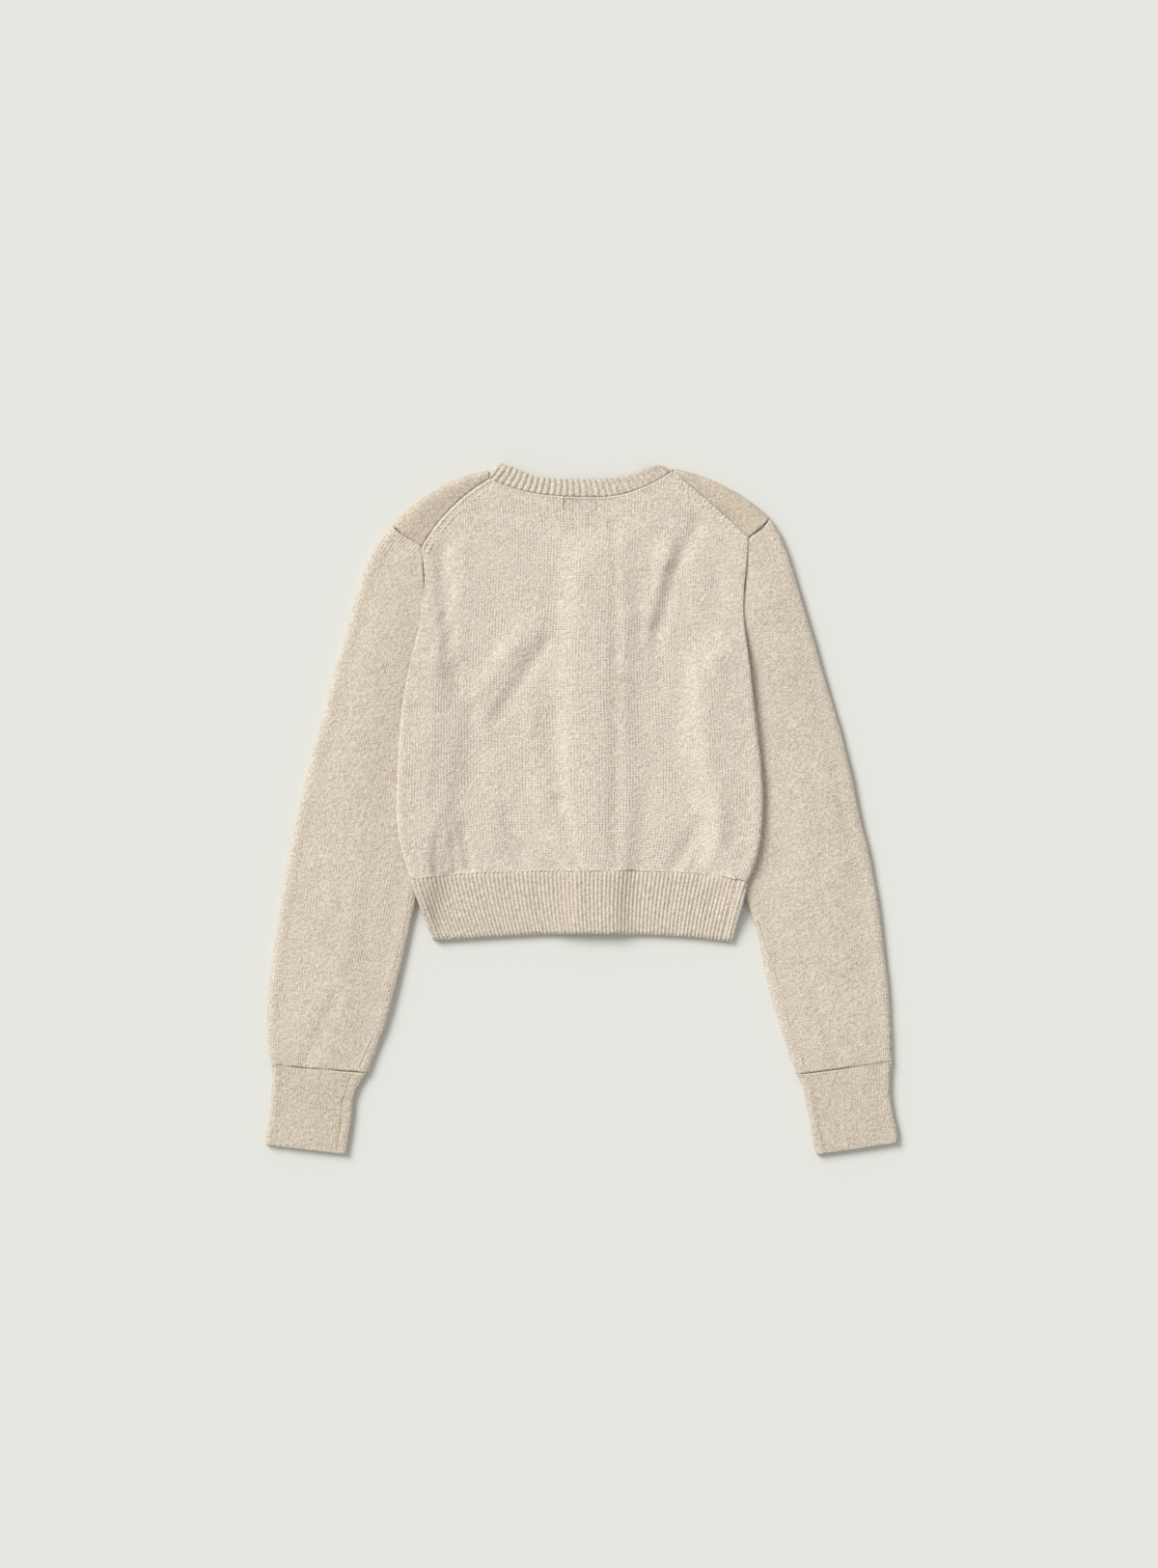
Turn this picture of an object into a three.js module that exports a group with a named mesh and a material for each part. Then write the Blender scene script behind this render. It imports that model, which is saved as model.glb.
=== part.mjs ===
// A cropped, rib-trimmed knitted cardigan laid flat on its front, with the back uppermost.
//
// Millimetres. +X is to the right seen from above, +Y towards the neck, +Z up. The origin is under the middle of the
// garment, on the surface that it lies on. Each knitted piece is a wall of even thickness built through a grid of
// points on its middle surface. The fronts lie lowest and fold over the shoulders and up the sides. The back lies on
// them, and the body's sides lie on the inner edges of the sleeves.
import * as THREE from "three";

// Driving dimensions
const KNIT = 2.2; // wall of the plain knit
const RIB = 2.4; // wall of the rib trims and the cuffs
const SEAM = 0.7; // clearance between two pieces at a seam
const LAYER_AIR = 1.4; // clearance between the fronts and the back
const SLEEVE_FLAT = 6.2; // a flattened sleeve's thickness near its folds
const SLEEVE_CROWN = 2.6; // what its middle rises above that
const CUFF_FLAT = 6;
const CUFF_CROWN = 0.7;
const PLACKET = { left: -4.8, right: 30.9, bottom: -122.6, top: 237 }; // the two bands, one on the other
const UNDER_BAND = 4.8; // underside of the band that carries the buttons
const OVER_BAND = 2.3; // underside of the band with the buttonholes
const BUTTON = { radius: 5.75, thickness: 1.9, count: 7, first: -108, pitch: 56 };
const LABEL = { left: -18, right: 14, top: 303.6, bottom: 291.5, thickness: 0.5 };

const { lerp, clamp, degToRad } = THREE.MathUtils;
const smooth = (low, high, value) => THREE.MathUtils.smoothstep(value, low, high);
const vec = (x, y, z = 0) => new THREE.Vector3(x, y, z);
const flip = (points) => [...points].reverse();

// A curve through a table of [x, y] points, read as x at a height y, or as y at a place x.
function throughTable(points, key, value) {
  const rows = points.map((p) => [p[key], p[value]]).sort((a, b) => a[0] - b[0]);
  const slope = rows.map((_, i) => {
    const a = rows[Math.max(i - 1, 0)];
    const b = rows[Math.min(i + 1, rows.length - 1)];
    return (b[1] - a[1]) / (b[0] - a[0]);
  });
  return (at) => {
    const t = clamp(at, rows[0][0], rows[rows.length - 1][0]);
    let i = 0;
    while (i < rows.length - 2 && t > rows[i + 1][0]) i++;
    const [x0, y0] = rows[i];
    const [x1, y1] = rows[i + 1];
    const w = x1 - x0;
    const s = (t - x0) / w;
    const keep = (1 - s) * (1 - s);
    return (
      y0 * (1 + 2 * s) * keep + slope[i] * w * s * keep +
      y1 * s * s * (3 - 2 * s) - slope[i + 1] * w * s * s * (1 - s)
    );
  };
}
const xAt = (points) => throughTable(points, 1, 0);
const yAt = (points) => throughTable(points, 0, 1);

// The same with straight lines between the points
function alongLine(points, key, value) {
  const rows = points.map((p) => [p[key], p[value]]).sort((a, b) => a[0] - b[0]);
  return (at) => {
    const i = clamp(rows.findIndex((row) => row[0] >= at), 1, rows.length - 1);
    const [[a, from], [b, to]] = [rows[i - 1], rows[i]];
    return lerp(from, to, clamp((at - a) / (b - a), 0, 1));
  };
}

// Outlines of the body as it lies, as [x, y]
const SIDE_LEFT = [
  [-167.4, -68.5], [-175.4, -44], [-179.6, -20.5], [-181.5, 2], [-180.1, 34], [-176.8, 86.6],
  [-170.2, 128.9], [-161.8, 162.8], [-155.2, 195.7], [-153.3, 223.9], [-156.1, 255.8],
];
const SIDE_RIGHT = [
  [161.6, -71.3], [170, -50.6], [174.7, -28.1], [176.6, 2], [175.7, 34], [170, 86.6],
  [162.5, 144.9], [157.8, 181.6], [157.4, 205.1], [159.7, 231.4], [162.5, 264.3],
];
const HEM_SEAM = [
  [-167.4, -68.5], [-143.9, -65.7], [-96.9, -61.9], [-2.9, -60], [91.1, -61], [138.1, -65.7], [161.6, -71.3],
];
const HEM_EDGE = [
  [-144.9, -128.6], [-115.7, -126.8], [-60, -123.4], [-2.9, -122.1], [91.1, -123.9], [146.5, -129.6],
];
const SLEEVE_EDGE_LEFT = [
  [-208.8, -257.4], [-196.6, -227.3], [-187.2, -199.1], [-179.6, -170.9], [-171.2, -137.1], [-166.5, -114.5],
  [-156.1, -69.4], [-145.8, -20.5], [-139.2, 35.9], [-137.3, 92.3], [-141, 140],
];
const SLEEVE_EDGE_RIGHT = [
  [209.5, -259.3], [197.3, -227.3], [189.8, -199.1], [181.3, -170.9], [174.7, -142.7], [169.1, -114.5],
  [161.6, -91], [147.5, -62.8], [133.4, -11.1], [124.1, 45.3], [122.5, 92], [128, 140],
];
// Each armhole in plan, from the shoulder fold by the corner of the back to the hidden underarm, at shares of a sleeve's
// width
const ARMHOLE_LEFT = { path: [[-183.8, 277], [-156.8, 255.2], [-155.9, 200], [-141, 140]], shares: [0, 0.22, 0.55, 1] };
const ARMHOLE_RIGHT = { path: [[182.9, 283.5], [164, 263], [160.6, 205], [128, 140]], shares: [0, 0.22, 0.55, 1] };
// How high the body's sides are carried, by y: over the sleeve from the underarm down, easing to its level above that
const SIDE_CARRY = [
  [-129, 7.6], [100, 7.6], [139, 7.6], [150, 6.7], [175, 4.6], [190, 3.2], [200, 2.8], [224, 2], [256, 1], [285, 0.5],
];

// The neckband's stations round the back of the neck, left to right: its free edge and its seam edge
const NECK_BACK = [
  { free: [-73.6, 334.6], seam: [-90.3, 321.6] },
  { free: [-67.6, 332.8], seam: [-84.5, 319.2] },
  { free: [-59.3, 329.3], seam: [-74.4, 315.2] },
  { free: [-49.9, 325.2], seam: [-59.3, 310.3] },
  { free: [-35.8, 322.4], seam: [-40.5, 306.6] },
  { free: [-18, 321.4], seam: [-18.9, 304.7] },
  { free: [0, 321.2], seam: [0, 304] },
  { free: [18.5, 321.5], seam: [17.5, 303.8] },
  { free: [38.4, 323.3], seam: [41.6, 307] },
  { free: [52, 327.3], seam: [59.3, 313.2] },
  { free: [61, 331.4], seam: [70.4, 318.2] },
  { free: [67.2, 333.6], seam: [79.6, 323.4] },
  { free: [71.4, 334.6], seam: [88.3, 328.6] },
];
// and along the lower layer from each shoulder fold down to the placket
const NECK_FRONT_LEFT = [
  { free: [-76.8, 334.6], seam: [-89.6, 326.4] },
  { free: [-75.8, 318], seam: [-90.8, 312] },
  { free: [-72, 293], seam: [-87.5, 287] },
  { free: [-62.5, 270], seam: [-75.5, 258] },
  { free: [-46, 252], seam: [-55, 239.5] },
  { free: [-24, 240.5], seam: [-29, 226.4] },
  { free: [-5.5, 237], seam: [-5.5, 222] },
];
const NECK_FRONT_RIGHT = [
  { free: [74.5, 333.4], seam: [88.6, 328.6] },
  { free: [75.2, 317], seam: [90.6, 312] },
  { free: [73.5, 293], seam: [88.6, 287] },
  { free: [66.5, 270], seam: [80.5, 260] },
  { free: [57, 254], seam: [67.5, 242.5] },
  { free: [45, 242.5], seam: [50.5, 228.5] },
  { free: [31.6, 237], seam: [31.6, 222] },
];

// The largest soft folds of the back: a crest or trough line, its half width and its height
const FOLDS = [
  { from: [-136, 262], to: [-127, 130], half: 14, rise: -0.9 }, // hollow inside the left armhole
  { from: [-127, 130], to: [-139, 0], half: 14, rise: -0.9 },
  { from: [-54, 172], to: [-92, 101], half: 17, rise: 2.6 }, // slanting pleat at the left shoulder blade
  { from: [82, 248], to: [65, 177], half: 15, rise: 3 }, // slanting pleat at the right shoulder blade
  { from: [103, 262], to: [87, 176], half: 12, rise: -0.9 },
  { from: [-40, 88], to: [-23, -50], half: 13, rise: 2.2 }, // long pleat above the hem
  { from: [-64, -12], to: [-59, -58], half: 10, rise: -0.8 },
  { from: [-125, -8], to: [-119, -56], half: 9, rise: 1.8 }, // short gathers above the hem
  { from: [124, -10], to: [100, -58], half: 11, rise: -0.9 },
  { from: [142, 20], to: [128, -52], half: 12, rise: 1.5 },
];

const sideLeft = xAt(SIDE_LEFT);
const sideRight = xAt(SIDE_RIGHT);
const hemSeam = yAt(HEM_SEAM);
const hemEdge = yAt(HEM_EDGE);
const carry = throughTable(SIDE_CARRY, 0, 1);
const armholeLeft = alongLine(ARMHOLE_LEFT.path, 1, 0);
const armholeRight = alongLine(ARMHOLE_RIGHT.path, 1, 0);
const sleeveEdgeLeft = alongLine([...SLEEVE_EDGE_LEFT.slice(0, -1), ...ARMHOLE_LEFT.path], 1, 0);
const sleeveEdgeRight = alongLine([...SLEEVE_EDGE_RIGHT.slice(0, -1), ...ARMHOLE_RIGHT.path], 1, 0);

// How much a sleeve's inner edge lifts the body above it
function sideLift(x, y) {
  const fromLeft = 1 - smooth(2, 28, x - sleeveEdgeLeft(y));
  const fromRight = 1 - smooth(2, 28, sleeveEdgeRight(y) - x);
  return carry(y) * Math.max(fromLeft, fromRight);
}

// How much the two bands of the placket lift what lies on them
function placketLift(x, y) {
  const across = smooth(PLACKET.left - 20, PLACKET.left - 3, x) * (1 - smooth(PLACKET.right + 3, PLACKET.right + 20, x));
  return UNDER_BAND * across * (1 - smooth(PLACKET.top + 1, PLACKET.top + 36, y));
}

function foldRise(x, y) {
  return FOLDS.reduce((sum, { from, to, half, rise }) => {
    const line = new THREE.Line3(vec(...from), vec(...to));
    const away = line.closestPointToPoint(vec(x, y), true, vec(0, 0)).distanceTo(vec(x, y));
    return sum + rise * (1 - smooth(0, half, away));
  }, 0);
}

// Middle surfaces of the lower layer and of the back
const frontUnder = (x, y) => sideLift(x, y) + placketLift(x, y) * (x > PLACKET.left ? OVER_BAND / UNDER_BAND : 1);
const frontMiddle = (x, y, wall = KNIT) => frontUnder(x, y) + wall / 2;
function backMiddle(x, y) {
  const puff = 1.3 * smooth(-66, -20, y) * (1 - smooth(225, 300, y)) * smooth(0, 60, 165 - Math.abs(x));
  const folds = foldRise(x, y) * smooth(-66, -40, y);
  return sideLift(x, y) + placketLift(x, y) + RIB + LAYER_AIR + puff + folds + KNIT / 2;
}

// A closed wall of even thickness about a grid of middle-surface points. In a tube, each row is a loop.
function wall(rows, thickness, tube = false) {
  const down = rows.length;
  const across = rows[0].length;
  const at = (r, c) => rows[clamp(r, 0, down - 1)][tube ? (c + across) % across : clamp(c, 0, across - 1)];
  const sheets = [[], []];
  for (let r = 0; r < down; r++) {
    for (let c = 0; c < across; c++) {
      const sideways = at(r, c + 1).clone().sub(at(r, c - 1));
      const lengthways = at(r + 1, c).clone().sub(at(r - 1, c));
      const normal = sideways.cross(lengthways).normalize();
      [1, -1].forEach((side, i) => sheets[i].push(at(r, c).clone().addScaledVector(normal, (side * thickness) / 2)));
    }
  }
  const points = sheets.flat();
  const index = [];
  const number = (sheet, r, c) => sheet * down * across + r * across + (c % across);
  const quad = (a, b, c, d) => index.push(a, b, c, a, c, d);
  const columns = tube ? across : across - 1;
  for (let r = 0; r < down - 1; r++) {
    for (let c = 0; c < columns; c++) {
      quad(number(0, r, c), number(0, r, c + 1), number(0, r + 1, c + 1), number(0, r + 1, c));
      quad(number(1, r, c), number(1, r + 1, c), number(1, r + 1, c + 1), number(1, r, c + 1));
    }
  }
  for (let c = 0; c < columns; c++) {
    quad(number(0, 0, c), number(1, 0, c), number(1, 0, c + 1), number(0, 0, c + 1));
    quad(number(0, down - 1, c), number(0, down - 1, c + 1), number(1, down - 1, c + 1), number(1, down - 1, c));
  }
  for (let r = 0; r < down - 1 && !tube; r++) {
    quad(number(0, r, 0), number(0, r + 1, 0), number(1, r + 1, 0), number(1, r, 0));
    const last = across - 1;
    quad(number(0, r, last), number(1, r, last), number(1, r + 1, last), number(0, r + 1, last));
  }
  const volume = index.reduce((sum, _, i) => {
    if (i % 3) return sum;
    const [a, b, c] = [points[index[i]], points[index[i + 1]], points[index[i + 2]]];
    return sum + a.dot(b.clone().cross(c));
  }, 0);
  const geometry = new THREE.BufferGeometry().setFromPoints(points);
  return geometry.setIndex(volume < 0 ? index.reverse() : index);
}

// The roll of a panel's edge, up to a quarter turn: how far out and how far up or down it is at a share of the roll
const ROLL_SHARES = [0.78, 0.62, 0.35];
function roll(share, radius, turn) {
  const angle = (Math.PI / 2) * share * turn;
  if (angle < 1e-3) return { out: (Math.PI / 2) * share * radius, over: 0 };
  return { out: (radius / turn) * Math.sin(angle), over: (radius / turn) * (1 - Math.cos(angle)) };
}
// A roll at a side: its radius is half the distance between the layers there, and it starts inside the outline
function rollAtSide(x, y, sign, turn, thickness) {
  const radius = (backMiddle(x + sign * 3, y) - frontMiddle(x + sign * 3, y)) / 2;
  const start = x + sign * (roll(ROLL_SHARES[0], radius, turn).out + (turn * thickness) / 2);
  return {
    start,
    // way is 1 to roll up and -1 to roll down; level gives the height and rise the y of the panel at x
    points: (way, height, rise) => ROLL_SHARES.map((share) => {
      const { out, over } = roll(share, radius, turn);
      return vec(start - sign * out, rise(start - sign * out), height(start, rise(start)) + way * over);
    }),
  };
}

const evenly = (count, from = 0, to = 1) => Array.from({ length: count + 1 }, (_, i) => lerp(from, to, i / count));

// A shoulder line between two points, bowed towards +Y
function bowed(from, to, bow, s) {
  const chord = vec(to[0] - from[0], to[1] - from[1]).normalize();
  const normal = chord.x < 0 ? vec(chord.y, -chord.x) : vec(-chord.y, chord.x);
  const out = 4 * s * (1 - s) * bow;
  return [lerp(from[0], to[0], s) + normal.x * out, lerp(from[1], to[1], s) + normal.y * out];
}

const CORNER_LEFT = [-156.1, 255.8];
const CORNER_RIGHT = [162.5, 264.3];
const NECK_LEFT = NECK_BACK[0].seam;
const NECK_RIGHT = NECK_BACK[NECK_BACK.length - 1].seam;
const SHOULDER_BOW = { left: 6, right: 1.2 };

// Back
const BACK_TOP = [
  ...evenly(6).slice(0, -1).map((s) => bowed(CORNER_LEFT, NECK_LEFT, SHOULDER_BOW.left, s)),
  ...NECK_BACK.map((station) => station.seam),
  ...evenly(6).slice(1).map((s) => bowed(NECK_RIGHT, CORNER_RIGHT, SHOULDER_BOW.right, s)),
];
const BACK_ROWS = [0, 0.05, 0.11, 0.18, 0.26, 0.34, 0.42, 0.5, 0.57, 0.64, 0.71, 0.78, 0.85, 0.92, 0.97, 1];

// How far a side edge is rolled: fully where back meets front, not at all at the armhole
const sideTurn = (y) => 1 - smooth(92, 140, y);

function back() {
  const topLine = alongLine(BACK_TOP, 0, 1);
  const topLeft = rollAtSide(...CORNER_LEFT, 1, 0, KNIT).start;
  const topRight = rollAtSide(...CORNER_RIGHT, -1, 0, KNIT).start;
  const columns = [topLeft, ...BACK_TOP.map(([x]) => x).filter((x) => x > topLeft + 4 && x < topRight - 4), topRight];
  const rows = BACK_ROWS.map((v) => {
    const yLeft = lerp(HEM_SEAM[0][1], CORNER_LEFT[1], v);
    const yRight = lerp(HEM_SEAM[HEM_SEAM.length - 1][1], CORNER_RIGHT[1], v);
    const left = rollAtSide(sideLeft(yLeft), yLeft, 1, sideTurn(yLeft), KNIT);
    const right = rollAtSide(sideRight(yRight), yRight, -1, sideTurn(yRight), KNIT);
    const topX = (x) => THREE.MathUtils.mapLinear(x, left.start, right.start, topLeft, topRight);
    const rise = (x) => lerp(hemSeam(x) + SEAM / 2, topLine(topX(x)) - SEAM / 2, v);
    return [
      ...left.points(-1, backMiddle, rise),
      ...columns.map((top) => {
        const x = THREE.MathUtils.mapLinear(top, topLeft, topRight, left.start, right.start);
        return vec(x, rise(x), backMiddle(x, rise(x)));
      }),
      ...flip(right.points(-1, backMiddle, rise)),
    ];
  });
  return wall(rows, KNIT);
}

// Fronts: rows from the hem seam up the lower layer, over the shoulder fold and down to the shoulder seam. Each row runs
// from the placket or the neck to the y where it meets the side or the armhole.
const FRONT_LEFT = [
  { inner: [-5.6, -60], outer: -68.5 },
  { inner: [-5.6, -40], outer: -44 },
  { inner: [-5.6, -14], outer: -16 },
  { inner: [-5.6, 14], outer: 14 },
  { inner: [-5.6, 42], outer: 42 },
  { inner: [-5.6, 68], outer: 66 },
  { inner: [-5.6, 94], outer: 90 },
  { inner: [-5.6, 120], outer: 114 },
  { inner: [-5.6, 148], outer: 141 },
  { inner: [-5.6, 186], outer: 170 },
  { inner: [-5.6, 221.6], outer: 200 },
  { inner: [-29.3, 226.1], outer: 228 },
  { inner: [-55.6, 239.1], outer: 245 },
  { inner: [-76, 257.7], outer: 255 },
  { inner: [-88.1, 286.8], outer: 263, bow: 4 },
  { inner: [-91.5, 312], outer: 269, bow: 7 },
];
const FRONT_RIGHT = [
  { inner: [31.7, -60], outer: -71.3 },
  { inner: [31.7, -40], outer: -47 },
  { inner: [31.7, -14], outer: -18 },
  { inner: [31.7, 14], outer: 12 },
  { inner: [31.7, 42], outer: 40 },
  { inner: [31.7, 68], outer: 66 },
  { inner: [31.7, 94], outer: 90 },
  { inner: [31.7, 120], outer: 114 },
  { inner: [31.7, 148], outer: 141 },
  { inner: [31.7, 186], outer: 172 },
  { inner: [31.7, 221.6], outer: 205 },
  { inner: [50.9, 228.1], outer: 230 },
  { inner: [68.1, 242.2], outer: 250 },
  { inner: [81.1, 259.8], outer: 263 },
  { inner: [89.2, 286.9], outer: 270, bow: 4 },
  { inner: [91.3, 312], outer: 276, bow: 6 },
];
// The shoulder fold and the shoulder seam that each front ends at, with how far each line bows towards the neck
const SHOULDER_LEFT = {
  fold: { inner: [-92.2, 330.1], outer: [-183.4, 277.4], bow: 8.7 },
  seam: { inner: NECK_LEFT, outer: CORNER_LEFT, bow: SHOULDER_BOW.left },
};
const SHOULDER_RIGHT = {
  fold: { inner: [89.8, 331.6], outer: [182.3, 284], bow: 7.4 },
  seam: { inner: NECK_RIGHT, outer: CORNER_RIGHT, bow: SHOULDER_BOW.right },
};
const FRONT_SHARES = [0, 0.09, 0.18, 0.3, 0.42, 0.54, 0.65, 0.74, 0.82, 0.89, 0.95, 1];
const FOLD_DEGREES = [0, 45, 90, 135, 180];

function front(table, shoulder, armhole, side) {
  const sideEdge = side < 0 ? sideLeft : sideRight;
  // from the side across to the hidden underarm, then up the armhole at a seam's clearance
  const underarm = armhole.path[3];
  const edge = (y) => {
    const low = lerp(sideEdge(y), underarm[0] - side * 2, smooth(90, underarm[1], y));
    return y < underarm[1] ? low : alongLine(armhole.path, 1, 0)(y) - side * (SEAM + 0.3 + 0.9 * smooth(250, 258, y));
  };
  const rows = table.map(({ inner, outer, bow = 0 }, r) => {
    const end = rollAtSide(edge(outer), outer, -side, sideTurn(outer), KNIT);
    const level = (x) => {
      if (r === 0) return hemSeam(x) + SEAM / 2;
      return lerp(inner[1], outer, (x - inner[0]) / (end.start - inner[0]));
    };
    const flat = FRONT_SHARES.map((s) => {
      const [x, y] = bowed([inner[0], level(inner[0])], [end.start, level(end.start)], bow, s);
      return vec(x, r === 0 ? level(x) : y, frontMiddle(x, y));
    });
    return [...flat, ...flip(end.points(1, frontMiddle, level))];
  });
  const shares = evenly(rows[0].length - 1);
  const { fold, seam } = shoulder;
  const outward = vec(-(fold.outer[1] - fold.inner[1]), fold.outer[0] - fold.inner[0]).normalize();
  if (outward.y < 0) outward.negate();
  const line = (ends, s) => bowed(ends.inner, ends.outer, ends.bow, lerp(0.005, 0.99, s));
  FOLD_DEGREES.forEach((degrees) => rows.push(shares.map((s) => {
    const [x, y] = line(fold, s);
    const low = frontMiddle(x, y);
    const radius = (backMiddle(x, y) - low) / 2;
    const inset = KNIT / 2 + radius * (1 - Math.sin(degToRad(degrees)));
    return vec(x, y, low + radius * (1 - Math.cos(degToRad(degrees)))).addScaledVector(outward, -inset);
  })));
  rows.push(shares.map((s) => {
    const [x, y] = line(seam, s);
    return vec(x, y + SEAM / 2, backMiddle(x, y));
  }));
  return wall(rows, KNIT);
}

// Sleeves: each station is a flattened tube between its outer fold and its inner fold
const SLEEVE_LEFT = [
  { outer: [-183.8, 277], inner: [-141, 140], crown: 0, crownEnd: 1, armhole: 1 },
  { outer: [-193.5, 266.5], inner: [-140.4, 130], crown: 0.35, crownEnd: 0.9, armhole: 0.72 },
  { outer: [-209.7, 238], inner: [-139, 112], crown: 0.7, crownEnd: 0.8, armhole: 0.35 },
  { outer: [-219.1, 209.8], inner: [-137.6, 96], crown: 0.85, crownEnd: 0.7, armhole: 0.12 },
  { outer: [-231.3, 167.5], inner: [-137.6, 78], crown: 1, crownEnd: 0.66, armhole: 0 },
  { outer: [-247.3, 111.1], inner: [-138.2, 54], crown: 1, crownEnd: 0.64, armhole: 0 },
  { outer: [-262.4, 54.7], inner: [-140.6, 22], crown: 1, crownEnd: 0.66, armhole: 0 },
  { outer: [-276.5, -1.7], inner: [-145, -16], crown: 1, crownEnd: 0.72, armhole: 0 },
  { outer: [-288.7, -58.1], inner: [-155, -64], crown: 1, crownEnd: 0.86, armhole: 0 },
  { outer: [-297.1, -114.5], inner: [-166, -112], crown: 1, crownEnd: 1, armhole: 0 },
  { outer: [-304.7, -170.9], inner: [-178.4, -166], crown: 1, crownEnd: 1, armhole: 0 },
  { outer: [-307, -213], inner: [-191.6, -213], crown: 1, crownEnd: 1, armhole: 0 },
  { outer: [-305.6, -236], inner: [-200.6, -238], crown: 0.8, crownEnd: 1, armhole: 0 },
  { outer: [-302.4, -249.6], inner: [-208.2, -257], crown: 0.25, crownEnd: 1, armhole: 0 },
];
const SLEEVE_RIGHT = [
  { outer: [182.9, 283.5], inner: [128, 140], crown: 0, crownEnd: 1, armhole: 1 },
  { outer: [193.5, 267], inner: [126.4, 128], crown: 0.35, crownEnd: 0.85, armhole: 0.72 },
  { outer: [204.5, 238], inner: [124.6, 114], crown: 0.7, crownEnd: 0.7, armhole: 0.35 },
  { outer: [213, 209.8], inner: [123.2, 100], crown: 0.85, crownEnd: 0.6, armhole: 0.12 },
  { outer: [225.5, 167.5], inner: [122.4, 84], crown: 1, crownEnd: 0.56, armhole: 0 },
  { outer: [242.4, 111.1], inner: [122.4, 64], crown: 1, crownEnd: 0.54, armhole: 0 },
  { outer: [258.4, 54.7], inner: [125.4, 34], crown: 1, crownEnd: 0.56, armhole: 0 },
  { outer: [270.5, -1.7], inner: [134, -14], crown: 1, crownEnd: 0.64, armhole: 0 },
  { outer: [283.8, -58.1], inner: [147.2, -62], crown: 1, crownEnd: 0.78, armhole: 0 },
  { outer: [292.2, -114.5], inner: [168.8, -113], crown: 1, crownEnd: 1, armhole: 0 },
  { outer: [298.8, -170.9], inner: [180.4, -168], crown: 1, crownEnd: 1, armhole: 0 },
  { outer: [301.4, -213], inner: [193.4, -213], crown: 1, crownEnd: 1, armhole: 0 },
  { outer: [302, -234], inner: [200.8, -236], crown: 0.8, crownEnd: 1, armhole: 0 },
  { outer: [302.6, -246.6], inner: [209, -258.6], crown: 0.25, crownEnd: 1, armhole: 0 },
];

const TUBE_LOW = [0, 0.22, 0.55, 0.77, 1];
const TUBE_TOP = [0, 0.1, 0.22, 0.33, 0.44, 0.55, 0.66, 0.77, 0.885, 1];
const TUBE_ROLL = [45, 90, 135];

// One loop of a flattened tube's middle surface: out along the lower layer, up round the inner fold, and back on top
function tubeLoop({ outer, inner, crown, crownEnd = 1 }, flat, thickness, crownHeight, bend) {
  const across = vec(inner[0] - outer[0], inner[1] - outer[1]);
  const width = across.length();
  const radius = (flat - thickness) / 2;
  const margin = (radius + thickness / 2) / width;
  const place = (share, z, outward = 0) => {
    const s = lerp(margin, 1 - margin, share);
    const p = vec(outer[0], outer[1], z).addScaledVector(across, s + (outward * radius) / width);
    return p.add(bend(share));
  };
  const low = thickness / 2;
  const swell = (s) => crownHeight * crown * Math.sin(Math.PI * Math.min(1, s / crownEnd)) ** 1.2;
  const arc = (share, sign, degrees) => {
    const angle = degToRad(degrees);
    return place(share, low + radius * (1 - Math.cos(angle)), sign * Math.sin(angle));
  };
  return [
    ...TUBE_LOW.map((s) => place(s, low)),
    ...TUBE_ROLL.map((d) => arc(1, 1, d)),
    ...flip(TUBE_TOP).map((s) => place(s, low + 2 * radius + swell(s))),
    ...flip(TUBE_ROLL).map((d) => arc(0, -1, d)),
  ];
}

function sleeve(stations, { path, shares }) {
  const [outer, inner] = [path[0], path[3]];
  // how far the armhole departs from a straight line between its ends
  const departure = (share) => {
    const i = clamp(shares.findIndex((s) => s >= share - 1e-9), 1, 3);
    const t = (share - shares[i - 1]) / (shares[i] - shares[i - 1]);
    const on = [0, 1].map((k) => lerp(path[i - 1][k], path[i][k], t) - lerp(outer[k], inner[k], share));
    return vec(...on);
  };
  const rows = stations.map((station) =>
    tubeLoop(station, SLEEVE_FLAT, KNIT, SLEEVE_CROWN, (share) => departure(share).multiplyScalar(station.armhole)),
  );
  return wall(rows, KNIT, true);
}

// Cuffs: the same flattened tube, a little thicker and firmer
const CUFF_LEFT = [
  { outer: [-302.2, -250.3], inner: [-208.8, -257.7], crown: 0.6 },
  { outer: [-301.6, -264], inner: [-214.6, -266], crown: 1 },
  { outer: [-302.8, -281], inner: [-221, -280], crown: 1 },
  { outer: [-304.9, -302], inner: [-223.4, -300], crown: 1 },
  { outer: [-308.6, -324], inner: [-227.4, -326], crown: 1 },
  { outer: [-308.4, -327.6], inner: [-229.2, -337], crown: 0.8 },
];
const CUFF_RIGHT = [
  { outer: [302.5, -247.3], inner: [209.6, -259.3], crown: 0.6 },
  { outer: [301.4, -262], inner: [214.4, -270], crown: 1 },
  { outer: [301.4, -279], inner: [218.4, -286], crown: 1 },
  { outer: [304.2, -298], inner: [222.2, -305], crown: 1 },
  { outer: [308.6, -319], inner: [226, -329], crown: 1 },
  { outer: [308.4, -325.4], inner: [228.6, -337.2], crown: 0.8 },
];
const cuff = (stations) => wall(stations.map((s) => tubeLoop(s, CUFF_FLAT, RIB, CUFF_CROWN, () => vec(0, 0))), RIB, true);

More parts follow.
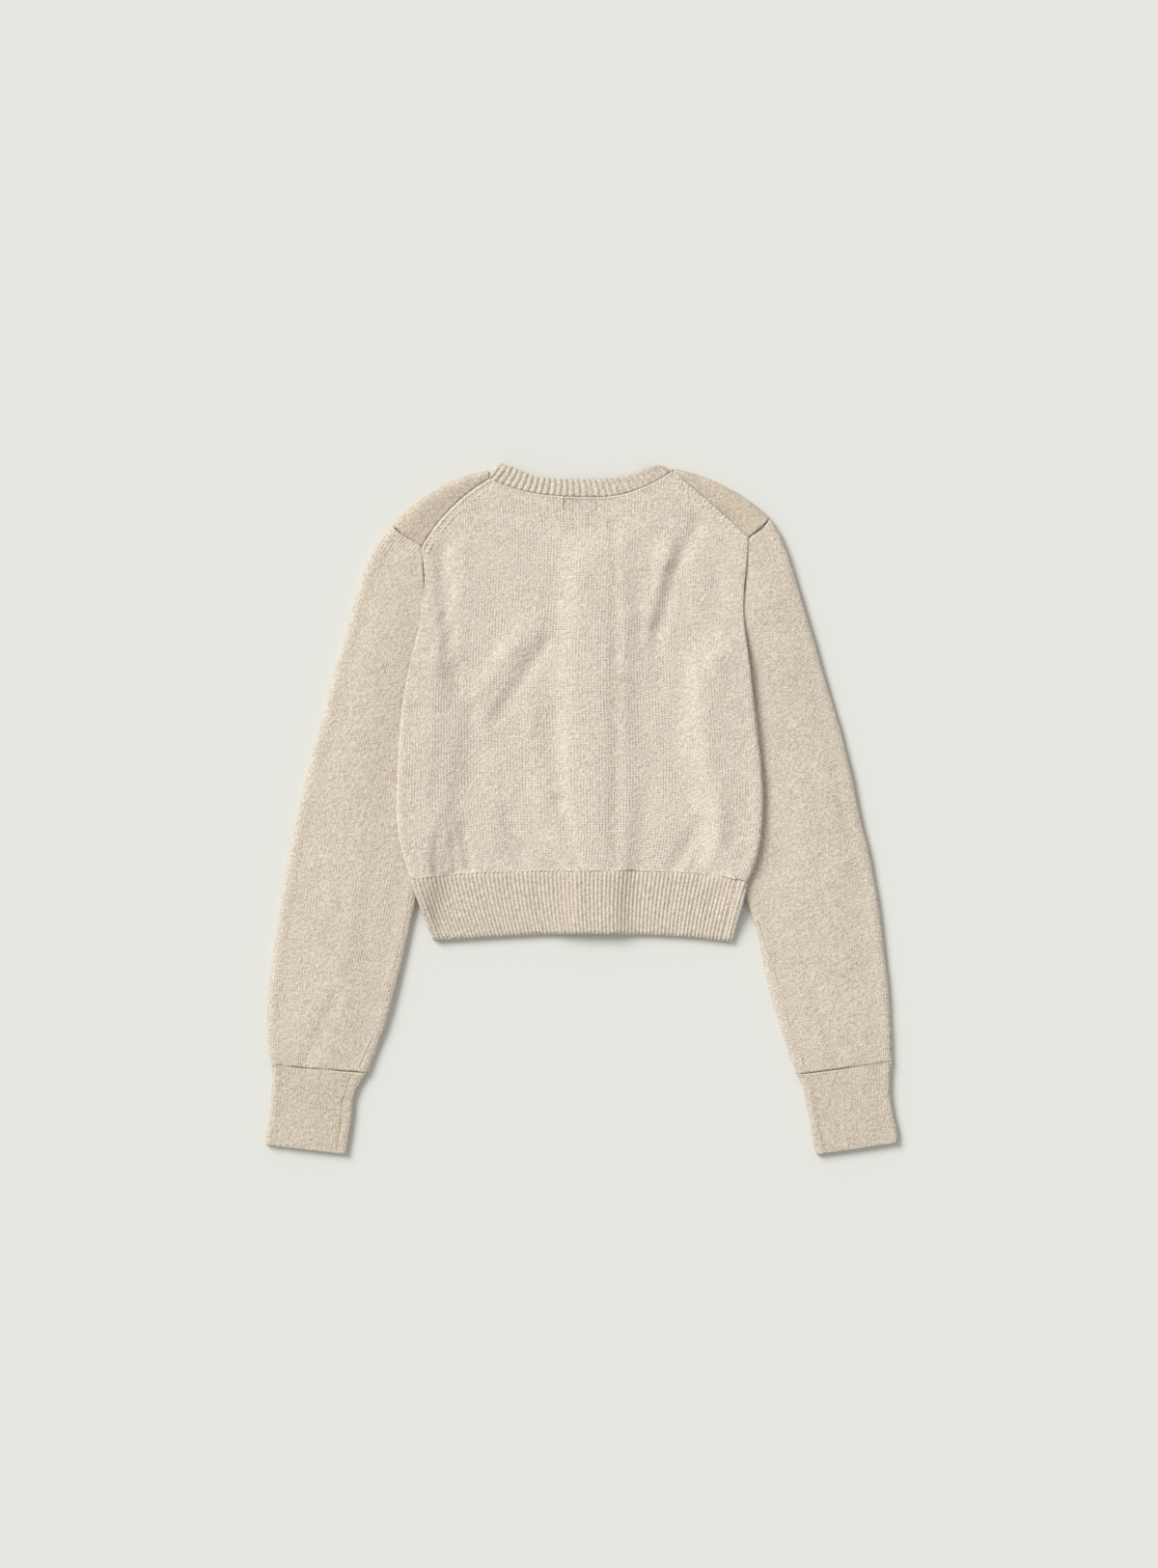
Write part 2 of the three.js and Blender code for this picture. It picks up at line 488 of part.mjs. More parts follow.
// Hem ribs: rows from the hem seam down to the edge
const HEM_ROWS = [0, 0.33, 0.66, 1];
const HEM_LEFT = [[-167.4, -68.5], [-157.1, -98.6], [-144.9, -128.6]];
const HEM_RIGHT = [[161.6, -71.3], [155.9, -98.6], [146.5, -129.6]];
const HEM_SIDE_SEAM = [[151.7, -69.4], [143.8, -98], [136.2, -128.4]]; // on top, inside the right-hand fold
const hemAt = (points, v) => {
  const y = lerp(points[0][1], points[2][1], v);
  return [xAt(points)(y), y];
};
const hemHeight = (x, y) => backMiddle(x, y) + (RIB - KNIT) / 2;
// The y of a hem row at x: at v from 0 at the seam to 1 at the edge
function hemLevel(x, v) {
  const [left, right] = [hemAt(HEM_LEFT, v)[0], hemAt(HEM_RIGHT, v)[0]];
  const above = THREE.MathUtils.mapLinear(x, left, right, HEM_LEFT[0][0], HEM_RIGHT[0][0]);
  return lerp(hemSeam(above) - SEAM / 2, hemEdge(x), v);
}
const HEM_SHARES = [0, 0.03, 0.06, 0.095, 0.13, 0.18, 0.24, 0.32, 0.4, 0.46, 0.5, 0.56, 0.625, 0.68, 0.74, 0.81, 0.86, 0.9, 0.95, 1];
const HEM_FRONT_SHARES = [0, 0.08, 0.16, 0.28, 0.4, 0.52, 0.63, 0.73, 0.81, 0.88, 0.94, 1];

function hemBack() {
  const rows = HEM_ROWS.map((v) => {
    const [edge, yEdge] = hemAt(HEM_LEFT, v);
    const seam = hemAt(HEM_SIDE_SEAM, v)[0] - SEAM / 2;
    const left = rollAtSide(edge, yEdge, 1, 1, RIB);
    const level = (x) => hemLevel(x, v);
    return [
      ...left.points(-1, hemHeight, level),
      ...HEM_SHARES.map((s) => lerp(left.start, seam, s)).map((x) => vec(x, level(x), hemHeight(x, level(x)))),
    ];
  });
  return wall(rows, RIB);
}

function hemFront(side) {
  const inside = side < 0 ? PLACKET.left - 2 * SEAM : PLACKET.right + 2 * SEAM;
  const low = (x, y) => frontMiddle(x, y, RIB);
  const rows = HEM_ROWS.map((v) => {
    const [edge, yEdge] = hemAt(side < 0 ? HEM_LEFT : HEM_RIGHT, v);
    const end = rollAtSide(edge, yEdge, -side, 1, RIB);
    const level = (x) => hemLevel(x, v);
    const flat = HEM_FRONT_SHARES.map((s) => lerp(inside, end.start, s)).map((x) => vec(x, level(x), low(x, level(x))));
    if (side < 0) return [...flat, ...flip(end.points(1, low, level))];
    // the right front's rib goes all round the fold and ends at the side seam on top
    const y = level(end.start);
    const radius = (hemHeight(end.start, y) - low(end.start, y)) / 2;
    const rolled = [45, 90, 135, 180].map(degToRad).map((angle) => {
      const x = end.start + radius * Math.sin(angle);
      return vec(x, level(x), low(end.start, y) + radius * (1 - Math.cos(angle)));
    });
    const seam = hemAt(HEM_SIDE_SEAM, v)[0] + SEAM / 2;
    return [...flat, ...rolled, vec(seam, level(seam), hemHeight(seam, level(seam)))];
  });
  return wall(rows, RIB);
}

// Neckband: round the back of the neck on top, over each shoulder fold, and along the lower layer to the placket
function neckband() {
  const width = (station, height, shift = vec(0, 0)) => [0, 0.5, 1].map((s) => {
    const x = lerp(station.free[0], station.seam[0], s);
    const y = lerp(station.free[1], station.seam[1], s);
    return vec(x, y, height(x, y)).add(shift);
  });
  const clear = (station, amount) => {
    const across = vec(station.free[0] - station.seam[0], station.free[1] - station.seam[1]).normalize();
    return { free: station.free, seam: [station.seam[0] + across.x * amount, station.seam[1] + across.y * amount] };
  };
  const upper = (x, y) => backMiddle(x, y) + (RIB - KNIT) / 2;
  const lower = (x, y) => frontMiddle(x, y, RIB);
  const foldRows = (station, outward) => FOLD_DEGREES.map((degrees) => {
    const angle = degToRad(degrees);
    const swing = (x, y) => lerp(lower(x, y), upper(x, y), (1 - Math.cos(angle)) / 2);
    const radius = (upper(...station.seam) - lower(...station.seam)) / 2;
    return width(station, swing, outward.clone().multiplyScalar(radius * Math.sin(angle)));
  });
  const leftFold = foldRows(clear(NECK_FRONT_LEFT[0], SEAM), vec(-0.55, 0.835));
  const rightFold = foldRows(clear(NECK_FRONT_RIGHT[0], SEAM), vec(0.32, 0.947));
  const rows = [
    ...flip(NECK_FRONT_LEFT.slice(1)).map((s) => width(clear(s, 0.25), lower)),
    ...leftFold,
    ...NECK_BACK.map((s) => width(clear(s, SEAM), upper)),
    ...flip(rightFold),
    ...NECK_FRONT_RIGHT.slice(1).map((s) => width(clear(s, 0.25), lower)),
  ];
  return wall(rows, RIB);
}

// A band of the placket: a flat strip from the hem's edge to the neckband's free edge
function band(under) {
  const rows = evenly(2, PLACKET.bottom, PLACKET.top).map((y) =>
    evenly(1, PLACKET.left, PLACKET.right).map((x) => vec(x, y, under + KNIT / 2)),
  );
  return wall(rows, KNIT);
}

// A sewn-through button, face down: a disc with a rounded rim and a dished face
function button() {
  const { radius, thickness } = BUTTON;
  const profile = [
    [0, 0.5], [radius - 1.9, 0.5], [radius - 1.5, 0], [radius - 0.6, 0],
    [radius, 0.6], [radius, thickness - 0.5], [radius - 0.6, thickness], [0, thickness],
  ];
  return new THREE.LatheGeometry(profile.map(([r, z]) => new THREE.Vector2(r, z)), 16).rotateX(Math.PI / 2);
}

// The woven label, blank, under the back just below the neckband
function label() {
  const hang = KNIT / 2 + SEAM + LABEL.thickness / 2;
  const rows = evenly(2, LABEL.bottom, LABEL.top).map((y) =>
    evenly(4, LABEL.left, LABEL.right).map((x) => vec(x, y, backMiddle(x, y) - hang)),
  );
  return wall(rows, LABEL.thickness);
}

const wool = new THREE.MeshStandardMaterial({ name: "wool", color: "#d9cfbc", roughness: 0.95, metalness: 0 });
const ribWool = new THREE.MeshStandardMaterial({ name: "rib_wool", color: "#dacdb8", roughness: 0.95, metalness: 0 });
const horn = new THREE.MeshStandardMaterial({ name: "horn", color: "#cbbfa8", roughness: 0.35, metalness: 0 });
const satin = new THREE.MeshStandardMaterial({ name: "satin", color: "#8f8d86", roughness: 0.6, metalness: 0 });

const cardigan = new THREE.Group();
function add(name, geometry, material) {
  const mesh = new THREE.Mesh(geometry, material);
  mesh.name = name;
  cardigan.add(mesh);
  return mesh;
}

add("back", back(), wool);
add("front_left", front(FRONT_LEFT, SHOULDER_LEFT, ARMHOLE_LEFT, -1), wool);
add("front_right", front(FRONT_RIGHT, SHOULDER_RIGHT, ARMHOLE_RIGHT, 1), wool);
add("sleeve_left", sleeve(SLEEVE_LEFT, ARMHOLE_LEFT), wool);
add("sleeve_right", sleeve(SLEEVE_RIGHT, ARMHOLE_RIGHT), wool);
add("cuff_left", cuff(CUFF_LEFT), ribWool);
add("cuff_right", cuff(CUFF_RIGHT), ribWool);
add("hem_back", hemBack(), ribWool);
add("hem_front_left", hemFront(-1), ribWool);
add("hem_front_right", hemFront(1), ribWool);
add("neckband", neckband(), ribWool);
add("band_under", band(UNDER_BAND), ribWool);
add("band_over", band(OVER_BAND), ribWool);
add("label", label(), satin);
const buttonX = (PLACKET.left + PLACKET.right) / 2;
for (let i = 0; i < BUTTON.count; i++) {
  const mesh = add(`button_${i + 1}`, button(), horn);
  mesh.position.set(buttonX, BUTTON.first + i * BUTTON.pitch, 0);
}

export default cardigan;
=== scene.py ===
"""Looks of a cropped knitted cardigan laid flat on its front: knit, ribs, seams, soft folds and buttons.

Sizes are in millimetres until a piece is finished; +X is right, +Y towards the neck and +Z up. Each
knitted piece is made from a grid that is laid through a few rows of points, the same rows that its solid is
made from.
"""
import math

import bmesh
import bpy
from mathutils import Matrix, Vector, noise


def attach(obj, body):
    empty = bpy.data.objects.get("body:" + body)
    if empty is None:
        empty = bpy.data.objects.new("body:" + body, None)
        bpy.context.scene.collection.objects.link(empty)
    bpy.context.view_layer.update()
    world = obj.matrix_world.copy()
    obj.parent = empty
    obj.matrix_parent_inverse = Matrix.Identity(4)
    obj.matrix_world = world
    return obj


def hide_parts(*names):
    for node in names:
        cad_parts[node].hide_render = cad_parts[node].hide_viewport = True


MM = 0.001
KNIT, RIB = 2.2, 2.4  # walls
RIB_CORE, BAND_CORE = 1.5, 1.6  # walls behind ribs that stand out
LABEL_WALL = 0.5
SEAM, LAYER_AIR = 0.2, 1.4  # the linked seams close to a hairline
NECK_CLEAR = 0.25  # between the neckband and the fronts
SLEEVE_FLAT, SLEEVE_CROWN = 6.2, 2.6
CUFF_FLAT, CUFF_CROWN = 6, 0.7
HEM_PITCH, NECK_PITCH = 4.12, 5.96  # of the ribs
HEM_RIB, NECK_RIB, BAND_RIB = 0.42, 0.5, 0.3  # how far the ribs stand out
WALE, COURSE = 3.1, 2.5  # of the plain knit
SIDE_BLEND = (2, 28)  # how far from a side the cloth comes down again
BAND_BLEND, BAND_FADE = (3, 20), (1, 36)  # the same beside the placket, and above it
BAND_LEFT, BAND_RIGHT, BAND_BOTTOM, BAND_TOP = -4.8, 30.9, -122.6, 237
UNDER_BAND, OVER_BAND = 4.8, 2.3
BUTTON_RADIUS, BUTTON_THICK, BUTTONS, BUTTON_FIRST, BUTTON_STEP = 5.75, 1.9, 7, -108, 56
LABEL_LEFT, LABEL_RIGHT, LABEL_YS = -18, 14, (291.5, 297.5, 303.6)
BOW_LEFT, BOW_RIGHT = 6, 1.2  # of the seams behind the shoulders
LOOP_SUNK = 0.6  # how deep a row of linking loops sits in the knit
FACING_UP, SLEEVE_UP = 4, 3  # cloth above these heights is the layer that shows
FLOOR_DROP = 0.2


# ---------- tables, as [x, y] in millimetres ----------
SIDE_LEFT = [
    (-167.4, -68.5), (-175.4, -44), (-179.6, -20.5), (-181.5, 2), (-180.1, 34), (-176.8, 86.6),
    (-170.2, 128.9), (-161.8, 162.8), (-155.2, 195.7), (-153.3, 223.9), (-156.1, 255.8),
]
SIDE_RIGHT = [
    (161.6, -71.3), (170, -50.6), (174.7, -28.1), (176.6, 2), (175.7, 34), (170, 86.6),
    (162.5, 144.9), (157.8, 181.6), (157.4, 205.1), (159.7, 231.4), (162.5, 264.3),
]
HEM_SEAM = [
    (-167.4, -68.5), (-143.9, -65.7), (-96.9, -61.9), (-2.9, -60), (91.1, -61), (138.1, -65.7),
    (161.6, -71.3),
]
HEM_EDGE = [
    (-144.9, -128.6), (-115.7, -126.8), (-60, -123.4), (-2.9, -122.1), (91.1, -123.9), (146.5, -129.6),
]
SLEEVE_EDGE_LEFT = [
    (-208.8, -257.4), (-196.6, -227.3), (-187.2, -199.1), (-179.6, -170.9), (-171.2, -137.1),
    (-166.5, -114.5), (-156.1, -69.4), (-145.8, -20.5), (-139.2, 35.9), (-137.3, 92.3),
]
SLEEVE_EDGE_RIGHT = [
    (209.5, -259.3), (197.3, -227.3), (189.8, -199.1), (181.3, -170.9), (174.7, -142.7), (169.1, -114.5),
    (161.6, -91), (147.5, -62.8), (133.4, -11.1), (124.1, 45.3), (122.5, 92),
]
ARMHOLE_LEFT = [(-183.8, 277), (-156.4, 255.8), (-153.4, 212), (-141, 140)]
ARMHOLE_RIGHT = [(182.9, 283.5), (163, 264), (158.2, 212), (128, 140)]
ARMHOLE_SHARES = (0, 0.22, 0.55, 1)
SIDE_CARRY = [
    (-129, 7.6), (100, 7.6), (139, 7.6), (150, 6.7), (175, 4.6), (190, 3.2), (200, 2.8), (224, 2), (256, 1),
    (285, 0.5),
]
# stations of the neckband: free edge, seam edge
NECK_BACK = [
    ((-73.6, 334.6), (-90.3, 321.6)), ((-67.6, 332.8), (-84.5, 319.2)), ((-59.3, 329.3), (-74.4, 315.2)),
    ((-49.9, 325.2), (-59.3, 310.3)), ((-35.8, 322.4), (-40.5, 306.6)), ((-18, 321.4), (-18.9, 304.7)),
    ((0, 321.2), (0, 304)), ((18.5, 321.5), (17.5, 303.8)), ((38.4, 323.3), (41.6, 307)),
    ((52, 327.3), (59.3, 313.2)), ((61, 331.4), (70.4, 318.2)), ((67.2, 333.6), (79.6, 323.4)),
    ((71.4, 334.6), (88.3, 328.6)),
]
NECK_FRONT_LEFT = [
    ((-76.8, 334.6), (-89.6, 326.4)), ((-75.8, 318), (-90.8, 312)), ((-72, 293), (-87.5, 287)),
    ((-62.5, 270), (-75.5, 258)), ((-46, 252), (-55, 239.5)), ((-24, 240.5), (-29, 226.4)),
    ((-5.5, 237), (-5.5, 222)),
]
NECK_FRONT_RIGHT = [
    ((74.5, 333.4), (88.6, 328.6)), ((75.2, 317), (90.6, 312)), ((73.5, 293), (88.6, 287)),
    ((66.5, 270), (80.5, 260)), ((57, 254), (67.5, 242.5)), ((45, 242.5), (50.5, 228.5)),
    ((31.6, 237), (31.6, 222)),
]
# soft folds of the back: from, to, half width, rise
FOLDS = [
    ((-136, 262), (-127, 130), 14, -0.9), ((-127, 130), (-139, 0), 14, -0.9),
    ((-54, 172), (-92, 101), 17, 2.6), ((82, 248), (65, 177), 15, 3), ((103, 262), (87, 176), 12, -0.9),
    ((-40, 88), (-23, -50), 13, 2.2), ((-64, -12), (-59, -58), 10, -0.8), ((-125, -8), (-119, -56), 9, 1.8),
    ((124, -10), (100, -58), 11, -0.9), ((142, 20), (128, -52), 12, 1.5),
]
# finer creases that only the surface shows: from, to, half width, rise
CREASES = [
    ((-36, 160), (-84, 88), 13, -1.9), ((-66, 158), (-108, 108), 16, 1.3),
    ((-118, 252), (-118, 150), 18, 0.9), ((112, 276), (90, 232), 12, -1.8), ((90, 232), (74, 176), 13, -2.2),
    ((74, 176), (76, 110), 14, -0.9), ((56, 236), (48, 186), 18, 1.5), ((48, 186), (56, 130), 18, 1.0),
    ((118, 220), (108, 120), 18, 0.8), ((-27, 92), (-21, 8), 12, -1.2), ((-21, 8), (-5, -54), 12, -1.5),
    ((-50, 96), (-38, -10), 14, 1.0), ((-142, -30), (-142, -60), 7, -1.5),
    ((-132, -24), (-129, -58), 6, 1.3), ((-115, -18), (-110, -58), 8, -1.5),
    ((114, -14), (90, -56), 12, -1.6), ((136, 30), (122, -54), 14, 0.9), ((-70, -8), (-60, -56), 15, -1.2),
    ((32, 276), (33, 150), 10, -1.0), ((33, 150), (33, -58), 11, -1.3), ((12, 200), (14, -50), 16, 0.6),
    ((62, 70), (44, -20), 16, 0.7), ((-90, 40), (-84, -30), 16, 0.6), ((-136, 250), (-128, 130), 13, -1.2),
    ((-128, 130), (-142, 10), 14, -1.3), ((-60, 210), (-20, 190), 16, 0.6),
]
# finer creases of the sleeves, the same way
SLEEVE_CREASES = [
    ((-240, -185), (-268, -246), 13, -1.2), ((-215, -60), (-232, -150), 16, 0.8),
    ((236, 60), (250, -60), 16, 0.7), ((226, -178), (250, -244), 13, -0.9),
]
# stations of the sleeves: outer fold, inner fold, crown, where the crown ends, share of the armhole's shape
SLEEVE_LEFT = [
    ((-183.8, 277), (-141, 140), 0, 1, 1), ((-193.5, 266.5), (-140.4, 130), 0.35, 0.9, 0.72),
    ((-209.7, 238), (-139, 112), 0.7, 0.8, 0.35), ((-219.1, 209.8), (-137.6, 96), 0.85, 0.7, 0.12),
    ((-231.3, 167.5), (-137.6, 78), 1, 0.66, 0), ((-247.3, 111.1), (-138.2, 54), 1, 0.64, 0),
    ((-262.4, 54.7), (-140.6, 22), 1, 0.66, 0), ((-276.5, -1.7), (-145, -16), 1, 0.72, 0),
    ((-288.7, -58.1), (-155, -64), 1, 0.86, 0), ((-297.1, -114.5), (-166, -112), 1, 1, 0),
    ((-304.7, -170.9), (-178.4, -166), 1, 1, 0), ((-307, -213), (-191.6, -213), 1, 1, 0),
    ((-305.6, -236), (-200.6, -238), 0.8, 1, 0), ((-302.4, -249.6), (-208.2, -257), 0.25, 1, 0),
]
SLEEVE_RIGHT = [
    ((182.9, 283.5), (128, 140), 0, 1, 1), ((193.5, 267), (126.4, 128), 0.35, 0.85, 0.72),
    ((204.5, 238), (124.6, 114), 0.7, 0.7, 0.35), ((213, 209.8), (123.2, 100), 0.85, 0.6, 0.12),
    ((225.5, 167.5), (122.4, 84), 1, 0.56, 0), ((242.4, 111.1), (122.4, 64), 1, 0.54, 0),
    ((258.4, 54.7), (125.4, 34), 1, 0.56, 0), ((270.5, -1.7), (134, -14), 1, 0.64, 0),
    ((283.8, -58.1), (147.2, -62), 1, 0.78, 0), ((292.2, -114.5), (168.8, -113), 1, 1, 0),
    ((298.8, -170.9), (180.4, -168), 1, 1, 0), ((301.4, -213), (193.4, -213), 1, 1, 0),
    ((302, -234), (200.8, -236), 0.8, 1, 0), ((302.6, -246.6), (209, -258.6), 0.25, 1, 0),
]
# stations of the cuffs: outer fold, inner fold, crown
CUFF_LEFT = [
    ((-302.2, -250.3), (-208.8, -257.7), 0.6), ((-301.6, -264), (-214.6, -266), 1),
    ((-302.8, -281), (-221, -280), 1), ((-304.9, -302), (-223.4, -300), 1),
    ((-308.6, -324), (-227.4, -326), 1), ((-308.4, -327.6), (-229.2, -337), 0.8),
]
CUFF_RIGHT = [
    ((302.5, -247.3), (209.6, -259.3), 0.6), ((301.4, -262), (214.4, -270), 1),
    ((301.4, -279), (218.4, -286), 1), ((304.2, -298), (222.2, -305), 1), ((308.6, -319), (226, -329), 1),
    ((308.4, -325.4), (228.6, -337.2), 0.8),
]
# rows of the fronts: inner end, y of the outer end, bow towards the neck
FRONT_LEFT = [((-5.6, inner), outer, 0) for inner, outer in (
    (-60, -68.5), (-40, -44), (-14, -16), (14, 14), (42, 42), (68, 66), (94, 90), (120, 114), (148, 141),
    (186, 170), (221.6, 200),
)] + [
    ((-29.3, 226.1), 228, 0), ((-55.6, 239.1), 245, 0), ((-76, 257.7), 255, 0), ((-88.1, 286.8), 263, 4),
    ((-91.5, 312), 269, 7),
]
FRONT_RIGHT = [((31.7, inner), outer, 0) for inner, outer in (
    (-60, -71.3), (-40, -47), (-14, -18), (14, 12), (42, 40), (68, 66), (94, 90), (120, 114), (148, 141),
    (186, 172), (221.6, 205),
)] + [
    ((50.9, 228.1), 230, 0), ((68.1, 242.2), 250, 0), ((81.1, 259.8), 263, 0), ((89.2, 286.9), 270, 4),
    ((91.3, 312), 276, 6),
]
CORNER_LEFT, CORNER_RIGHT = (-156.1, 255.8), (162.5, 264.3)
NECK_LEFT, NECK_RIGHT = NECK_BACK[0][1], NECK_BACK[-1][1]
# by side: the fold's inner end, outer end and bow, then the seam's
SHOULDER = {
    -1: (((-92.2, 330.1), (-183.4, 277.4), 8.7), (NECK_LEFT, CORNER_LEFT, BOW_LEFT)),
    1: (((89.8, 331.6), (182.3, 284), 7.4), (NECK_RIGHT, CORNER_RIGHT, BOW_RIGHT)),
}
HEM_LEFT = [(-167.4, -68.5), (-157.1, -98.6), (-144.9, -128.6)]
HEM_RIGHT = [(161.6, -71.3), (155.9, -98.6), (146.5, -129.6)]
HEM_SIDE_SEAM = [(151.7, -69.4), (143.8, -98), (136.2, -128.4)]
# how the pieces are divided, as shares of their length or width, and in degrees round a fold
BACK_ROWS = (0, 0.05, 0.11, 0.18, 0.26, 0.34, 0.42, 0.5, 0.57, 0.64, 0.71, 0.78, 0.85, 0.92, 0.97, 1)
HEM_ROWS = (0, 0.33, 0.66, 1)
HEM_SHARES = (
    0, 0.03, 0.06, 0.095, 0.13, 0.18, 0.24, 0.32, 0.4, 0.46, 0.5, 0.56, 0.625, 0.68, 0.74, 0.81, 0.86, 0.9,
    0.95, 1,
)
HEM_FRONT_SHARES = (0, 0.08, 0.16, 0.28, 0.4, 0.52, 0.63, 0.73, 0.81, 0.88, 0.94, 1)
FRONT_SHARES = (0, 0.09, 0.18, 0.3, 0.42, 0.54, 0.65, 0.74, 0.82, 0.89, 0.95, 1)
FOLD_TURNS = (0, 45, 90, 135, 180)
ROLL_SHARES = (0.78, 0.62, 0.35)
TUBE_LOW = (0, 0.22, 0.55, 0.77, 1)
TUBE_TOP = (0, 0.1, 0.22, 0.33, 0.44, 0.55, 0.66, 0.77, 0.885, 1)
TUBE_ROLL = (45, 90, 135)


# ---------- reading the tables ----------
def lerp(a, b, t):
    return a + (b - a) * t


def smooth(low, high, value):
    t = min(max((value - low) / (high - low), 0), 1)
    return t * t * (3 - 2 * t)


def evenly(count, start=0.0, end=1.0):
    return [lerp(start, end, i / count) for i in range(count + 1)]


def curve(points, key, value):
    """A smooth curve through a table."""
    rows = sorted((p[key], p[value]) for p in points)
    last = len(rows) - 1
    around = [(rows[max(i - 1, 0)], rows[min(i + 1, last)]) for i in range(last + 1)]
    slope = [(after[1] - before[1]) / (after[0] - before[0]) for before, after in around]

    def at(t):
        t = min(max(t, rows[0][0]), rows[last][0])
        i = 0
        while i < last - 1 and t > rows[i + 1][0]:
            i += 1
        (x0, y0), (x1, y1) = rows[i], rows[i + 1]
        w = x1 - x0
        s = (t - x0) / w
        keep = (1 - s) * (1 - s)
        return (y0 * (1 + 2 * s) * keep + slope[i] * w * s * keep
                + y1 * s * s * (3 - 2 * s) - slope[i + 1] * w * s * s * (1 - s))
    return at


def line(points, key, value):
    """Straight lines between the points of a table."""
    rows = sorted((p[key], p[value]) for p in points)

    def at(t):
        i = next((k for k in range(1, len(rows)) if rows[k][0] >= t), len(rows) - 1)
        (a, start), (b, end) = rows[i - 1], rows[i]
        return lerp(start, end, min(max((t - a) / (b - a), 0), 1))
    return at


side_left, side_right = curve(SIDE_LEFT, 1, 0), curve(SIDE_RIGHT, 1, 0)
hem_seam, hem_edge = curve(HEM_SEAM, 0, 1), curve(HEM_EDGE, 0, 1)
carry = curve(SIDE_CARRY, 0, 1)
sleeve_edge_left = line(SLEEVE_EDGE_LEFT + ARMHOLE_LEFT, 1, 0)
sleeve_edge_right = line(SLEEVE_EDGE_RIGHT + ARMHOLE_RIGHT, 1, 0)


def side_lift(x, y):
    """How far the sleeves beneath carry the body at its sides."""
    left = 1 - smooth(*SIDE_BLEND, x - sleeve_edge_left(y))
    right = 1 - smooth(*SIDE_BLEND, sleeve_edge_right(y) - x)
    return carry(y) * max(left, right)


def band_lift(x, y):
    """How far the placket beneath lifts the layers over it."""
    near, far = BAND_BLEND
    left = smooth(BAND_LEFT - far, BAND_LEFT - near, x)
    right = 1 - smooth(BAND_RIGHT + near, BAND_RIGHT + far, x)
    return UNDER_BAND * (left * right) * (1 - smooth(BAND_TOP + BAND_FADE[0], BAND_TOP + BAND_FADE[1], y))


def ridges(table, x, y):
    """The rise of a table of folds at a place."""
    total = 0
    for (ax, ay), (bx, by), half, rise in table:
        dx, dy = bx - ax, by - ay
        t = min(max(((x - ax) * dx + (y - ay) * dy) / (dx * dx + dy * dy), 0), 1)
        away = math.hypot(x - ax - t * dx, y - ay - t * dy)
        if away < half:
            total += rise * (1 - smooth(0, half, away))
    return total


def front_middle(x, y, wall=KNIT):
    """The height of the middle of the lower layer."""
    share = OVER_BAND / UNDER_BAND if x > BAND_LEFT else 1
    return side_lift(x, y) + band_lift(x, y) * share + wall / 2


def back_middle(x, y):
    """The height of the middle of the upper layer."""
    puff = 1.3 * smooth(-66, -20, y) * (1 - smooth(225, 300, y)) * smooth(0, 60, 165 - abs(x))
    folds = ridges(FOLDS, x, y) * smooth(-66, -40, y)
    return side_lift(x, y) + band_lift(x, y) + RIB + LAYER_AIR + puff + folds + KNIT / 2


def hem_height(x, y):
    return back_middle(x, y) + (RIB - KNIT) / 2


# ---------- rows of points ----------
def roll(share, radius, turn):
    """How far out and over a rolled edge comes; a turn of 0 leaves it flat."""
    angle = math.pi / 2 * share * turn
    if angle < 1e-3:
        return math.pi / 2 * share * radius, 0
    return radius / turn * math.sin(angle), radius / turn * (1 - math.cos(angle))


class SideRoll:
    """The rolled edge of a panel at a side."""

    def __init__(self, x, y, sign, turn, wall):
        at = (x + sign * 3, y)
        self.radius = (back_middle(*at) - front_middle(*at)) / 2
        self.sign, self.turn = sign, turn
        self.start = x + sign * (roll(ROLL_SHARES[0], self.radius, turn)[0] + turn * wall / 2)

    def points(self, way, height, rise):
        made = []
        for share in ROLL_SHARES:
            out, over = roll(share, self.radius, self.turn)
            x = self.start - self.sign * out
            made.append(Vector((x, rise(x), height(self.start, rise(self.start)) + way * over)))
        return made


def bowed(start, end, bow, s):
    """A point on a line that bows upwards."""
    dx, dy = end[0] - start[0], end[1] - start[1]
    length = math.hypot(dx, dy)
    nx, ny = (dy / length, -dx / length) if dx < 0 else (-dy / length, dx / length)
    out = 4 * s * (1 - s) * bow
    return lerp(start[0], end[0], s) + nx * out, lerp(start[1], end[1], s) + ny * out


def side_turn(y):
    return 1 - smooth(92, 140, y)


